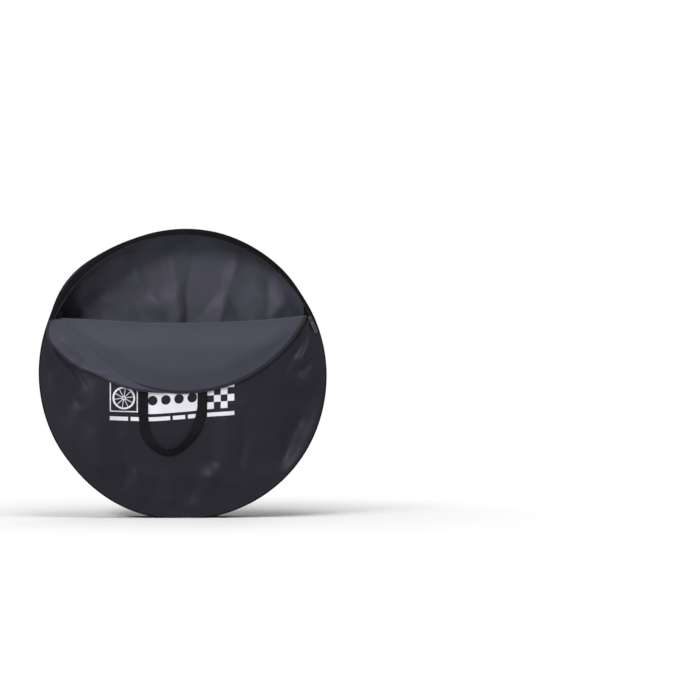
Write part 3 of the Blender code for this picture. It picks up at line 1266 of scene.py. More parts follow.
@dataclass
class Shell(Bench):
    """Front, back and gusset with their piping and the seam tape inside."""

    cloth: float = 0.0010
    piping: float = 0.0022
    seam_inset: float = 0.0012
    zip_inset: float = 0.0013
    panel_floor: float = 0.0016
    calm_width: float = 0.045
    ring_crowding: float = 1.25
    strip: float = 0.010
    front_stand: float = 0.0012
    front_pressed: float = 0.0004
    flap_reach: float = 0.372
    flap_reach_ends: float = 0.138
    flap_gap: float = 0.004
    flap_fade: float = 0.03
    handle_middle: float = -0.027
    under_handle: Box2 = ((-0.102, 0.102), (-0.225, 0.05))
    handle_fade: float = 0.05
    back_stand: float = 0.0030
    back_pressed: float = 0.0005
    under_ends: Box2 = ((0.065, 0.091), (0.228, 0.306))
    ends_fade: float = 0.035
    under_loop: Box2 = ((-0.095, 0.095), (0.080, 0.306))
    loop_fade: float = 0.030
    gusset_depth: float = 0.11
    gusset_floor: float = 0.0004
    gusset_slack: float = 0.0030
    gusset_slack_above: float = 0.0045
    gusset_tightens: float = 1.2
    gusset_broad: Wave = (0.0026, 0.055, 11.0)
    gusset_fine: Wave = (0.0011, 0.022, 12.0)
    gusset_squeeze: float = 0.6
    pucker: float = 0.0005
    pucker_pitch: float = 0.019
    pucker_drift: Wave = (3.0, 0.1, 13.0)
    pucker_reach: float = 0.010
    pucker_start: float = 0.003
    piping_wave: Wave = (0.0004, 0.05, 21.0)
    tape_cloth: float = 0.0006
    tape_inset: float = 0.0045
    tape_floor: float = 0.0030
    tape_wave: Wave = (0.0003, 1.0, 31.0)
    tape_waves: float = 6.0
    tape_profile: tuple[Point2, ...] = (
        (0.0, 0.0), (0.06, 0.0008), (0.2, 0.0011), (0.5, 0.0009), (0.8, 0.0011), (0.94, 0.0008), (1.0, 0.0),
    )
    fold_sag: tuple[Point2, ...] = (
        (-0.36, 0.0100), (-0.335, 0.0105), (-0.27, 0.0130), (-0.207, 0.0160), (-0.14, 0.0205),
        (-0.072, 0.0236), (0.04, 0.0232), (0.12, 0.0211), (0.20, 0.0165), (0.276, 0.0100), (0.3276, 0.0040),
        (0.36, 0.0030),
    )
    front_folds: Folds = Folds(
        (
            Crease((-0.356, 0.074), (-0.272, -0.028), 0.0070, 0.0046),
            Crease((-0.340, 0.082), (-0.256, -0.030), 0.0085, -0.0046),
            Crease((-0.352, 0.046), (-0.278, -0.080), 0.0120, -0.0048),
            Crease((-0.352, -0.010), (-0.300, -0.200), 0.0340, 0.0055),
            Crease((-0.240, -0.010), (-0.218, -0.275), 0.050, 0.0125),
            Crease((-0.175, -0.120), (-0.150, -0.300), 0.022, -0.0065),
            Crease((-0.130, -0.235), (-0.110, -0.335), 0.018, 0.0050),
            Crease((0.340, 0.128), (0.306, 0.030), 0.011, 0.0042),
            Crease((0.326, 0.110), (0.270, 0.010), 0.009, -0.0050),
            Crease((0.362, 0.066), (0.305, 0.024), 0.010, 0.0038),
            Crease((0.352, 0.048), (0.292, 0.006), 0.012, -0.0032),
            Crease((0.345, 0.030), (0.330, -0.110), 0.020, 0.0035),
            Crease((0.110, -0.075), (0.080, -0.300), 0.070, 0.0085),
            Crease((0.338, -0.045), (0.258, -0.262), 0.062, -0.0175),
            Crease((0.175, -0.075), (0.150, -0.260), 0.012, -0.0035),
            Crease((0.100, -0.200), (0.055, -0.320), 0.020, 0.0050),
            Crease((0.045, -0.240), (0.010, -0.345), 0.018, -0.0045),
            Crease((-0.045, -0.240), (-0.030, -0.345), 0.018, 0.0040),
        ),
        waves=((0.0060, 0.17, 1.0), (0.0008, 0.03, 3.0)),
        crests=((0.0016, 0.085, 2.0),),
    )
    back_folds: Folds = Folds(
        (
            Crease((-0.030, 0.345), (-0.010, 0.120), 0.022, 0.0100),
            Crease((0.040, 0.340), (0.010, 0.100), 0.018, -0.0080),
            Crease((0.150, 0.320), (0.080, 0.090), 0.022, 0.0110),
            Crease((0.105, 0.250), (0.175, 0.110), 0.016, -0.0080),
            Crease((-0.180, 0.300), (-0.090, 0.110), 0.022, -0.0070),
            Crease((-0.150, 0.320), (-0.050, 0.160), 0.018, 0.0080),
            Crease((-0.290, 0.200), (-0.140, 0.060), 0.024, 0.0085),
            Crease((-0.260, 0.240), (-0.190, 0.090), 0.018, -0.0070),
            Crease((0.280, 0.210), (0.160, 0.060), 0.024, 0.0080),
            Crease((0.240, 0.260), (0.215, 0.090), 0.018, -0.0065),
            Crease((-0.260, -0.080), (-0.080, -0.300), 0.030, 0.0080),
            Crease((-0.320, -0.020), (-0.190, -0.250), 0.022, -0.0065),
            Crease((0.250, -0.060), (0.110, -0.300), 0.030, -0.0070),
            Crease((0.310, -0.010), (0.220, -0.220), 0.024, 0.0075),
            Crease((0.020, -0.060), (0.000, -0.330), 0.028, 0.0075),
            Crease((-0.110, -0.040), (-0.050, -0.260), 0.020, -0.0060),
            Crease((0.090, 0.020), (0.060, -0.200), 0.020, -0.0055),
        ),
        waves=((0.0060, 0.17, 7.0), (0.0010, 0.03, 9.0)),
        crests=((0.0022, 0.09, 8.0),),
    )

    def fold_top(self, x: float) -> float:
        """Height of the fold's middle over the bag's middle: it hangs lower between its ends."""
        return self.places.fold_z - self.places.middle - through(self.fold_sag, x)

    def calm(self, room: float) -> float:
        """How far a panel's folds have grown at this distance from its edge."""
        return smooth_step(room / self.calm_width)

    def front_lift(self, x: float, z: float) -> float:
        """How far the lower front stands out, less where the flap and the front handle lie on it.

        Args:
            x: place across, from the bag's middle.
            z: place up, from the bag's middle.

        Returns:
            The lift, in metres.
        """
        lift = self.front_folds.lift(x, z) + self.front_stand
        hanging = math.sqrt(max(0.0, self.flap_reach**2 - min(x * x, self.flap_reach_ends)))
        flap_low = self.places.closed(hanging)
        below_flap = smooth_step((flap_low + self.flap_gap - z) / self.flap_fade)
        beside_handle = past_box(x - self.handle_middle, z, self.under_handle)
        room = min(below_flap, smooth_step(beside_handle / self.handle_fade))
        return min(lift, 0.0) + max(lift, 0.0) * room - (1.0 - room) * self.front_pressed

    def front_y(self, x: float, z: float, calm: float = 1.0) -> float:
        """Depth of the lower front's outer face at (x, z), measured from the bag's middle."""
        return self.places.front - self.front_lift(x, z) * calm

    def front_edge(self, angle: float) -> float:
        """How far the lower front reaches at this angle.

        Args:
            angle: the angle, in radians.

        Returns:
            The reach from the bag's middle.
        """
        turn, end = math.degrees(angle) % 360.0, math.degrees(self.places.zip_end)
        if not end < turn < 180.0 - end:
            return self.outline.reach(angle, Side.FRONT) - self.seam_inset
        widest = radius = self.places.zip_radius - self.zip_inset
        for _ in range(12):
            top = (self.fold_top(radius * math.cos(angle)) - self.strip) / math.sin(angle)
            radius = min(widest, 0.5 * (radius + top))
        return radius

    def back_depth(self, x: float, z: float, calm: float) -> float:
        """Depth of the back's outer face, soft and slack, but calm where the rear handle lies on it.

        Args:
            x: place across, from the bag's middle.
            z: place up, from the bag's middle.
            calm: how far the folds have grown there.

        Returns:
            The depth y.
        """
        ends = smooth_step(past_box(abs(x), z, self.under_ends) / self.ends_fade)
        loop = smooth_step(past_box(x, z, self.under_loop) / self.loop_fade)
        lift = self.back_folds.lift(x, z) + self.back_stand
        lift = max(lift, 0.0) + min(lift, 0.0) * loop
        return self.places.rear - self.back_pressed * calm - lift * calm * ends

    def panel(
        self,
        name: str,
        angles: Sequence[float],
        edge: Callable[[float], float],
        depth: Callable[[float, float, float], float],
        rings: int,
    ) -> Piece:
        """A round panel of rings about its middle.

        Args:
            name: name of the piece.
            angles: the spokes' angles.
            edge: reach at an angle.
            depth: the depth y at (x, z, calm), where calm goes to 0 at the seam.
            rings: how many rings.

        Returns:
            The new piece.
        """
        middle, count = self.places.middle, len(angles)
        reaches = [edge(angle) for angle in angles]
        points, flat = [(0.0, depth(0.0, 0.0, 1.0), middle)], [(0.0, middle)]
        for i in range(1, rings + 1):
            share = 1.0 - (1.0 - i / rings) ** self.ring_crowding
            for angle, reach in zip(angles, reaches):
                x, z = on_circle(reach * share, angle)
                up = above_floor(middle + z, self.panel_floor)
                points.append((x, depth(x, z, self.calm(reach - reach * share)), up))
                flat.append((x, up))
        faces = [(0, 1 + (j + 1) % count, 1 + j) for j in range(count)]
        for low in range(1, 1 + (rings - 1) * count, count):
            for j in range(count):
                k = (j + 1) % count
                faces.append((low + j, low + k, low + count + k, low + count + j))
        return self.maker.mesh(name, points, faces, [[flat[i] for i in face] for face in faces])

    def build_front(self) -> None:
        """The lower front, from the fold down to the seam, with more spokes at the mouth's corners."""
        end, corner, apart, step = math.degrees(self.places.zip_end), 26.0, 0.05, 1.2
        turns = spread(180.0 - end + apart, 360.0 + end - apart, steps=260)
        turns += spread(360.0 + end + apart, 360.0 + corner, steps=6)
        turns += spread(360.0 + corner + step, 540.0 - corner - step, steps=110)
        turns += spread(540.0 - corner, 540.0 - end - apart, steps=6)
        angles = [math.radians(turn) for turn in turns]
        obj = self.panel("front_cloth", angles, self.front_edge, self.front_y, rings=64)
        self.maker.cloth(obj, forward, (self.palette.outer, self.palette.inner), self.cloth, sharp=60.0)
        self.maker.hang(obj, Part.BAG, "outer_cloth", ["front_panel"])

    def build_back(self) -> None:
        """The back, whole and round."""

        def edge(angle: float) -> float:
            """How far the back reaches at this angle."""
            return self.outline.reach(angle, Side.BACK) - self.seam_inset

        obj = self.panel("back_cloth", spread(0.0, math.tau, steps=300)[:-1], edge, self.back_depth, rings=60)
        self.maker.cloth(obj, rearward, (self.palette.outer, self.palette.lining), self.cloth, sharp=60.0)
        self.maker.hang(obj, Part.BAG, "outer_cloth", ["back_panel"])

    def gusset_point(self, angle: float, share: float) -> Point3:
        """A place on the gusset's outer face, share of the way from front to back.

        Args:
            angle: the angle, in radians.
            share: 0 at the front, 1 at the back.

        Returns:
            The place.
        """
        front, back = (self.outline.reach(angle, side) for side in Side)
        y = self.places.front + self.piping
        y += (self.places.rear - self.places.front - 2 * self.piping) * share
        up, around = math.sin(angle), angle * self.outline.path
        slack = self.gusset_slack * (1.0 - smooth_step(-up * self.gusset_tightens))
        if up > 0:
            slack = self.gusset_slack + self.gusset_slack_above * smooth_step(up)
        belly = 4.0 * share * (1.0 - share)
        wave = sway(around, y, self.gusset_broad) + sway(around, y * self.gusset_squeeze, self.gusset_fine)
        from_seam = min(share, 1.0 - share) * self.gusset_depth
        turn = around * math.tau / self.pucker_pitch + sway(around, 0.0, self.pucker_drift)
        pucker = self.pucker * math.sin(turn) * math.exp(-((from_seam / self.pucker_reach) ** 2))
        pucker *= smooth_step(from_seam / self.pucker_start)
        radius = front + (back - front) * smooth_step(share) - slack * belly + wave * belly + pucker
        x, z = on_circle(radius, angle)
        return x, y, above_floor(self.places.middle + z, self.gusset_floor)

    def build_gusset(self) -> None:
        """The slack wall round the bag, between the two piped seams."""
        turns, path, depth = spread(0.0, math.tau, steps=520), self.outline.path, self.gusset_depth
        shares = [0.5 - 0.5 * math.cos(math.pi * part) for part in spread(0.0, 1.0, steps=30)]
        rows = [[self.gusset_point(angle, share) for share in shares] for angle in turns[:-1]]
        flat = [[(angle * path, depth * share) for share in shares] for angle in turns]
        obj = self.maker.grid("side_cloth", rows, flat, round_rows=True)
        finishes = (self.palette.outer, self.palette.inner)
        self.maker.cloth(obj, self.places.outward, finishes, self.cloth, sharp=60.0)
        self.maker.hang(obj, Part.BAG, "outer_cloth", ["gusset_upper", "gusset_lower"])

    def build_piping(self) -> None:
        """The two piped edges."""
        depths = (self.places.front + self.piping, self.places.rear - self.piping)
        for side, depth in zip(Side, depths):
            path = []
            for angle in spread(0.0, math.tau, steps=420)[:-1]:
                x, z = self.outline.point(angle, 0.0, self.piping, side)
                path.append((x, depth + sway(angle, 0.0, self.piping_wave), z))
            unit = Unit(pitch=0.004, length=0.001, thickness=self.piping)
            name = side.value + "_piping"
            obj = self.work.run(name, self.work.cord, [path], self.palette.edge, unit, closed=True)
            self.maker.hang(obj, Part.BAG, "edge_cloth", ["piping_" + side.value])

    def build_bindings(self) -> None:
        """The seam tape folded over each raw seam inside."""
        for side in Side:
            node = "binding_" + side.value
            low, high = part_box(node)
            rows = []
            for angle in spread(0.0, math.tau, steps=300)[:-1]:
                inset = self.tape_inset + sway(angle * self.tape_waves, 0.0, self.tape_wave)
                row = []
                for share, step in self.tape_profile:
                    x, z = self.outline.point(angle, inset + step, self.tape_floor + step, side)
                    row.append((x, low.y + (high.y - low.y) * share, z))
                rows.append(row)
            obj = self.maker.grid("seam_tape_" + side.value, rows, round_rows=True)
            self.maker.cloth(obj, self.places.inward, (self.palette.edge,), self.tape_cloth)
            self.maker.hang(obj, Part.BAG, "edge_cloth", [node])

    def build(self) -> None:
        """Builds the whole shell."""
        self.build_piping()
        self.build_front()
        self.build_back()
        self.build_gusset()
        self.build_bindings()


# The flap


@dataclass
class Flap(Bench):
    """The upper front, unzipped and folded down over the lower front, with its fold."""

    shell: Shell
    cloth: float = 0.0014
    left_end: float = -0.3222
    right_end: float = 0.3274
    crowding: float = 0.92
    stand: float = 0.0110
    edge_calm: float = 0.060
    fold_calm: float = 0.075
    least_drop: float = 0.0004
    bend_depth: float = 0.0002
    folds: Folds = Folds(
        (
            Crease((-0.330, 0.140), (-0.215, 0.030), 0.010, 0.0030),
            Crease((-0.318, 0.120), (-0.225, -0.002), 0.008, -0.0026),
            Crease((-0.300, 0.140), (-0.170, 0.060), 0.014, 0.0022),
            Crease((-0.260, 0.080), (-0.140, -0.020), 0.014, 0.0018),
            Crease((0.315, 0.140), (0.200, 0.055), 0.014, 0.0026),
            Crease((0.300, 0.110), (0.215, 0.045), 0.009, -0.0018),
            Crease((0.120, 0.130), (0.135, 0.010), 0.030, 0.0016),
        ),
        waves=((0.0022, 0.15, 41.0), (0.0008, 0.05, 42.0)),
    )

    def back_face(self) -> float:
        """Depth of the flap's back face where it hangs flat."""
        return self.places.turned_y(self.places.front)

    def swell(self, x: float, z: float) -> float:
        """How far the hanging flap stands out at (x, z), measured from the bag's middle.

        Args:
            x: place across, from the bag's middle.
            z: place up, from the bag's middle.

        Returns:
            The swell, in metres.
        """
        inside = self.places.flap_edge - math.hypot(x, self.places.closed(z))
        near_fold = smooth_step((self.shell.fold_top(x) - z) / self.fold_calm)
        lift = max(0.0, self.stand + self.folds.lift(x, z))
        return lift * smooth_step(inside / self.edge_calm) * near_fold

    def face_y(self, x: float, z: float) -> float:
        """Depth of the flap's visible face at (x, z), measured from the bag's middle."""
        return self.back_face() - self.swell(x, z) - self.cloth

    def laid_on(self, path: Sequence[Point3], stand: float) -> list[Point3]:
        """A line of the closed flap, folded down and this far in front of the flap's visible face."""
        down = [(x, self.places.turned(z)) for x, _, z in path]
        return [(x, self.face_y(x, z - self.places.middle) - stand, z) for x, z in down]

    def low_edge(self, x: float) -> float:
        """Height of the flap's curved edge over the bag's middle, folded down."""
        return self.places.closed(math.sqrt(max(0.0, self.places.flap_edge**2 - x * x)))

    def columns(self) -> list[float]:
        """Places across, closer together at the flap's two ends.

        Returns:
            The places, from left to right.
        """
        centre, half = (self.left_end + self.right_end) / 2, (self.right_end - self.left_end) / 2
        bend = math.pi / 2 * self.crowding
        shares = spread(-1.0, 1.0, steps=190)
        return [centre + half * math.sin(share * bend) / math.sin(bend) for share in shares]

    def build(self) -> None:
        """Builds the cloth as one sheet: up the front, over the fold and down again."""
        places, middle, strip = self.places, self.places.middle, self.shell.strip
        radius = places.front - places.fold_y
        columns = [(x, self.shell.fold_top(x)) for x in self.columns()]
        rows: list[list[Point3]] = []
        flat: list[list[Point2]] = []
        for drop in (strip, strip * 0.75, strip * 0.5, strip * 0.25, 0.0):
            rows.append([(x, places.front, middle + top - drop) for x, top in columns])
            flat.append([(x, middle + top - drop) for x, top in columns])
        for turn in spread(0.0, math.pi, steps=9)[1:-1]:
            out, up = on_circle(radius, turn)
            rows.append([(x, places.fold_y + out, middle + top + up) for x, top in columns])
            flat.append([(x, middle + top + radius * turn) for x, top in columns])
        for share in spread(0.0, 1.0, steps=74):
            row, laid = [], []
            for x, top in columns:
                z = top + (min(top - self.least_drop, self.low_edge(x)) - top) * share
                row.append((x, self.back_face() - self.swell(x, z), middle + z))
                laid.append((x, middle + 2 * top - z))
            rows.append(row)
            flat.append(laid)
        obj = self.maker.grid("flap_cloth", rows, flat)

        def facing(place: Vector) -> Vector:
            """Towards the fold's middle depth, where the outer cloth looks on both sides of it."""
            return Vector((0.0, places.fold_y - place.y, 0.0))

        self.maker.cloth(obj, facing, (self.palette.outer, self.palette.inner), self.cloth, sharp=70.0)
        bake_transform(obj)
        self.maker.enter(obj, "inner_cloth", ["flap", "fold_crease"])


@dataclass
class LeftCorner(Bench):
    """The flap's slack left corner: it hangs low and wide."""

    flap: Flap
    outer: tuple[Point2, ...] = (
        (-0.3400, 0.1500), (-0.3500, 0.1486), (-0.3570, 0.1430), (-0.3612, 0.1320), (-0.3628, 0.1150),
        (-0.3600, 0.0985), (-0.3490, 0.0800), (-0.3266, 0.0565), (-0.3027, 0.0345), (-0.2745, 0.0170),
        (-0.2336, 0.0000), (-0.1858, -0.0225), (-0.1460, -0.0360), (-0.1115, -0.0430), (-0.0743, -0.0462),
        (-0.0480, -0.0470),
    )
    folds_in: float = 3.0
    folds_out: float = 5.0
    folds: Folds = Folds(
        (
            Crease((-0.3360, 0.0845), (-0.2800, 0.0240), 0.0060, 0.0050),
            Crease((-0.3177, 0.1010), (-0.2646, 0.0426), 0.0062, 0.0052),
            Crease((-0.2620, 0.0170), (-0.2000, 0.0010), 0.0060, 0.0034),
        )
    )
    inner_start: float = math.radians(180.0 - 29.4)
    inner_end: float = math.radians(98.2)
    inner_radius: float = 0.3500
    inner_grows: float = 0.35
    past_edge: float = 0.0015
    overlap: float = 0.003
    step_out: float = 0.0021
    step_start: float = 0.16
    step_right: float = -0.048
    step_fade: float = 0.05
    face_gap: float = 0.0001
    slack: float = 0.0014
    slack_wave: Wave = (1.0, 0.05, 71.0)
    tip: Point2 = (-0.35, 0.12)
    tip_reach: float = 0.160
    tip_fade: float = 0.10
    tip_stand: float = 0.0016
    tip_crests: Wave = (0.0022, 0.045, 72.0)
    tip_left_of: float = -0.3
    tip_clear: float = -0.0593
    band: float = 0.0075
    band_most: float = 0.6
    band_stand: float = 0.0005
    band_columns: int = 3
    columns: int = 16
    steps: int = 110
    thickness: float = 0.0008
    thread_stand: float = 0.00012
    unsewn: tuple[int, int] = (6, 3)
    gathered: float = -0.030
    keep: float = 0.05
    gather_axis: Point3 = (0.9976, -0.0698, 0.0)

    def inner(self, share: float) -> Point2:
        """A place on the line where the corner joins the flap's face; it meets the free edge at the tip.

        Args:
            share: 0 at the line's left end, 1 at its right end.

        Returns:
            The place as (x, z).
        """
        angle = self.inner_start + (self.inner_end - self.inner_start) * share
        edge = self.places.flap_edge + self.past_edge
        grown = smooth_step((share - self.inner_grows) / (1.0 - self.inner_grows))
        radius = self.inner_radius + (edge - self.inner_radius) * grown
        x, z = on_circle(radius, angle)
        return x, self.places.closed(z)

    def depth(self, x: float, z: float, share: float) -> float:
        """Depth of the corner's back, share of the way from the flap's face to the free edge.

        Args:
            x: place across, from the bag's middle.
            z: place up, from the bag's middle.
            share: 0 at the flap's face, 1 at the free edge.

        Returns:
            The depth y.
        """
        inside = self.places.flap_edge + self.overlap - math.hypot(x, self.places.closed(z))
        face = self.flap.face_y(x, z) if inside > 0 else self.flap.back_face() - self.flap.cloth
        loose = smooth_step(share * 2.0)
        lift = smooth_step(share / self.step_start) * self.step_out
        lift *= smooth_step((self.step_right - x) / self.step_fade)
        lift += self.slack * loose * (0.5 + sway(x, z, self.slack_wave))
        away = math.hypot(x - self.tip[0], z - self.tip[1])
        crests = crumple(x, z, self.tip_crests) * loose
        lift += smooth_step((self.tip_reach - away) / self.tip_fade) * share * (self.tip_stand + crests)
        folds_grow = smooth_step(share * self.folds_in)
        lift += self.folds.lift(x, z) * folds_grow * smooth_step((1.0 - share) * self.folds_out)
        at_tip = share > self.inner_grows and x < self.tip_left_of
        return min(face - self.face_gap - max(0.0, lift), self.tip_clear if at_tip else 0.0)

    def build(self) -> None:
        """Builds the corner as one sheet with its own band of tape."""
        free = [(spot.x, spot.z) for spot in smooth_line([(x, 0.0, z) for x, z in self.outer], self.steps)]
        middle, face_columns = self.places.middle, self.columns - self.band_columns

        def at(i: int, j: int) -> tuple[Point3, Point2]:
            """A point of the corner, from the flap's face to the free edge.

            Args:
                i: number of the row.
                j: number of the column.

            Returns:
                The point and its place laid flat.
            """
            (ox, oz), (ix, iz) = free[i], self.inner(i / self.steps)
            band = min(self.band_most, self.band / math.hypot(ox - ix, oz - iz))
            taped = j >= face_columns
            share = j / face_columns * (1.0 - band)
            if taped:
                share = 1.0 - (self.columns - j) / self.band_columns * band
            x, z = ix + (ox - ix) * share, iz + (oz - iz) * share
            return (x, self.depth(x, z, share) - (self.band_stand if taped else 0.0), middle + z), (x, z)

        obj = self.maker.woven("flap_corner", self.steps, self.columns, at)
        for index, polygon in enumerate(obj.data.polygons):
            polygon.material_index = int(index % self.columns >= face_columns)
        finishes = (self.palette.inner, self.palette.tape)
        self.maker.cloth(obj, forward, finishes, self.thickness, sharp=60.0, lined=False)
        self.maker.hang(obj, Part.FLAP, "inner_cloth")
        anchor = (self.gathered, self.flap.back_face() - self.flap.cloth, middle)
        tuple(self.gather_axis)
        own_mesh(obj)
        edge = []
        for i in range(self.unsewn[0], self.steps - self.unsewn[1]):
            x, y, z = at(i, self.columns - 1)[0]
            edge.append((x, y - self.thickness - self.thread_stand, z))
        sewn = self.sew("corner_stitches", [edge], Part.FLAP, "zip_tape")
        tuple(self.gather_axis)
        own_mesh(sewn)


# The zip


@dataclass
class Zip(Bench):
    """The two halves of the zip with their tapes, stops, end tabs and the webs behind its ends."""

    flap: Flap
    pitch: float = 0.0021
    tooth: float = 0.0024
    thickness: float = 0.00074
    flap_right: float = math.radians(26.8)
    flap_left: float = math.radians(180.0 - 29.2)
    rim_right: float = math.radians(22.9)
    rim_left: float = math.radians(157.1)
    rim_tape_radii: tuple[float, ...] = (0.3712, 0.3725, 0.3750, 0.3785)
    flap_tape_insets: tuple[float, ...] = (0.0080, 0.0056, 0.0028, 0.0002)
    flap_tape: float = 0.0008
    laid_step: float = 0.003
    row_start: float = 0.003
    flap_tape_stand: float = 0.0009
    clearance: float = 0.0001
    border_cloth: float = 0.0009
    border_past: float = 0.004
    border_under: float = 0.0003
    border_short: float = 0.0010
    border_puff: float = 0.0011
    border_full: float = 1.05
    border_round: float = 0.6
    border_wave: Wave = (0.0005, 0.012, 51.0)
    border_spots: Point2 = (0.37, 0.006)
    border_shares: tuple[float, ...] = (0.0, 0.02, 0.12, 0.3, 0.55, 0.8, 1.0)
    tab_width: float = 0.021
    tab_height: float = 0.022
    tab_gap: float = 0.0003
    tab_puff: float = 0.0012
    tab_fade: float = 0.12
    tab_wave: Wave = (0.0005, 0.008, 61.0)
    web_cloth: float = 0.0007
    web_radius: float = 0.3735
    web_width: float = 0.0300
    web_end_width: float = 0.0030
    web_below: float = 0.075
    web_above: float = 0.150
    web_behind: float = 0.0008
    web_sag: float = 0.0012
    web_straight: float = 0.25
    web_wave: Wave = (0.0005, 0.012, 91.0)

    def build_tape(
        self, name: str, node: str, part: Part, rims: Sequence[Sequence[Point3]], thickness: float
    ) -> None:
        """A strip of tape between lines.

        Args:
            name: name of the piece.
            node: the CAD node that it stands for.
            part: the body it moves with.
            rims: the lines, from one edge to the other.
            thickness: how thick it is.
        """
        flat = []
        for k, rim in enumerate(rims):
            run, row = 0.0, [(0.0, self.laid_step * k)]
            for before, place in zip(rim, rim[1:]):
                run += (Vector(place) - Vector(before)).length
                row.append((run, self.laid_step * k))
            flat.append(row)
        obj = self.maker.cloth(self.maker.grid(name, rims, flat), forward, (self.palette.tape,), thickness)
        self.maker.hang(obj, part, "zip_tape", [node])

    def build_tapes(self) -> None:
        """The tape behind the mouth's border and the one on the flap."""
        places = self.places
        low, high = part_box("zip_tape_rim")
        start, end = places.zip_end, math.pi - places.zip_end
        rims = [places.arc(radius, start, end, low.y) for radius in self.rim_tape_radii]
        self.build_tape("rim_tape", "zip_tape_rim", Part.BAG, rims, high.y - low.y - self.clearance)
        rims = []
        for inset in self.flap_tape_insets:
            radius = places.zip_radius - places.row_gap - inset
            closed = places.arc(radius, self.flap_right, self.flap_left, 0.0)
            rims.append(self.flap.laid_on(closed, self.flap_tape_stand))
        self.build_tape("flap_tape", "zip_tape_flap", Part.FLAP, rims, self.flap_tape)

    def build_rows(self) -> None:
        """The teeth: a row on the mouth that points inwards, and one on the flap that points outwards."""
        places, reach = self.places, self.places.row_gap + self.tooth / 2
        low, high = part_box("zip_row_rim")
        y = (low.y + high.y) / 2
        rim = places.arc(places.zip_radius + reach, self.rim_right, self.rim_left, y, steps=400)
        start = self.flap_right + self.row_start
        closed = places.arc(places.zip_radius - reach, start, self.flap_left, y, steps=400)
        flap = [(x, places.turned_y(y), places.turned(z)) for x, _, z in closed]
        for name, node, part, path, length, middle in (
            ("rim_teeth", "zip_row_rim", Part.BAG, rim, self.tooth, places.middle),
            ("flap_teeth", "zip_row_flap", Part.FLAP, flap, -self.tooth, places.turned(places.middle)),
        ):
            unit, centre = Unit(self.pitch, length, self.thickness), (0.0, path[0][1], middle)
            obj = self.work.run(name, self.work.teeth, [path], self.palette.teeth, unit, centre)
            self.maker.hang(obj, part, "zip_teeth", [node])

    def build_border(self) -> None:
        """The narrow border of cloth between the zip and the piping."""
        places, shares = self.places, self.border_shares
        start, end = places.zip_end - self.border_past, math.pi - places.zip_end + self.border_past
        angles = spread(start, end, steps=420)
        near = places.zip_radius + places.row_gap + places.row_width - self.border_under

        def at(i: int, j: int) -> tuple[Point3, Point2]:
            """A point of the border, from the zip to the piping.

            Args:
                i: number of the row.
                j: number of the column.

            Returns:
                The point and its place laid flat.
            """
            share, angle = shares[i], angles[j]
            radius = near + (self.outline.reach(angle, Side.FRONT) - self.border_short - near) * share
            (along, across), full = self.border_spots, min(1.0, share * self.border_full)
            puff = self.border_puff * math.sin(math.pi * full) ** self.border_round
            puff += sway(angle * along, share * across, self.border_wave) * share * (1 - share) * 4
            tuck = self.border_puff if share == 0.0 else 0.0
            x, z = on_circle(radius, angle)
            return (x, places.front - puff + tuck, places.middle + z), (angle * radius, radius)

        obj = self.maker.woven("mouth_border", len(shares) - 1, len(angles) - 1, at)
        self.maker.cloth(obj, forward, (self.palette.edge,), self.border_cloth)
        self.maker.hang(obj, Part.BAG, "edge_cloth", ["front_border"])

    def build_tab(self, node: str, side: float, cells: int = 12) -> None:
        """One cloth tab sewn over an end of the zip.

        Args:
            node: the CAD node that it stands for.
            side: -1 on the left, 1 on the right.
            cells: cells each way.
        """
        angle = self.places.zip_end - (self.tab_gap + self.tab_height / 2) / self.places.zip_radius
        out = Vector((math.cos(angle), 0.0, math.sin(angle)))
        up = Vector((-math.sin(angle), 0.0, math.cos(angle)))
        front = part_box(node)[1].y - self.clearance

        def at(i: int, j: int) -> tuple[Point3, Point2]:
            """A point of the tab, puffed up away from its edges.

            Args:
                i: number of the row.
                j: number of the column.

            Returns:
                The point and its place laid flat.
            """
            a, b = -0.5 + j / cells, -0.5 + i / cells
            edge = min(0.5 - abs(a), 0.5 - abs(b))
            across, along = a * self.tab_width, b * self.tab_height
            place = out * self.places.zip_radius + out * across + up * along
            puff = self.tab_puff * smooth_step(edge / self.tab_fade) + sway(place.x, place.z, self.tab_wave)
            return (side * place.x, front - puff, self.places.middle + place.z), (across, along)

        obj = self.maker.woven(node.replace("zip_tab", "end_tab"), cells, cells, at)
        self.maker.cloth(obj, forward, (self.palette.edge,), self.border_cloth)
        self.maker.hang(obj, Part.BAG, "edge_cloth", [node])

    def build_web(self, name: str, side: float, tall: int = 24, across: int = 8) -> None:
        """One small web of cloth behind a corner of the mouth, where the zip's end is sewn down.

        Args:
            name: name of the piece.
            side: -1 on the left, 1 on the right.
            tall: cells along the zip.
            across: cells across it.
        """
        depth, (height, size, seed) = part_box("slider_body")[1].y + self.web_behind, self.web_wave
        angles = spread(self.places.zip_end - self.web_below, self.places.zip_end + self.web_above, tall)

        def at(i: int, j: int) -> tuple[Point3, Point2]:
            """A point of the web, which is wide below and narrow above.

            Args:
                i: number of the row.
                j: number of the column.

            Returns:
                The point and its place laid flat.
            """
            narrowed = smooth_step((i / tall - self.web_straight) / (1.0 - self.web_straight))
            wide = self.web_width * (1.0 - narrowed) + self.web_end_width
            x, z = on_circle(self.web_radius - wide * j / across, angles[i])
            sag = self.web_sag * math.sin(math.pi * j / across) + sway(x, z, (height, size, seed + side))
            return (side * x, depth + max(0.0, sag), self.places.middle + z), (x, z)

        obj = self.maker.woven(name, tall, across, at)
        self.maker.cloth(obj, forward, (self.palette.edge,), self.web_cloth)
        self.maker.hang(obj, Part.BAG, "edge_cloth")

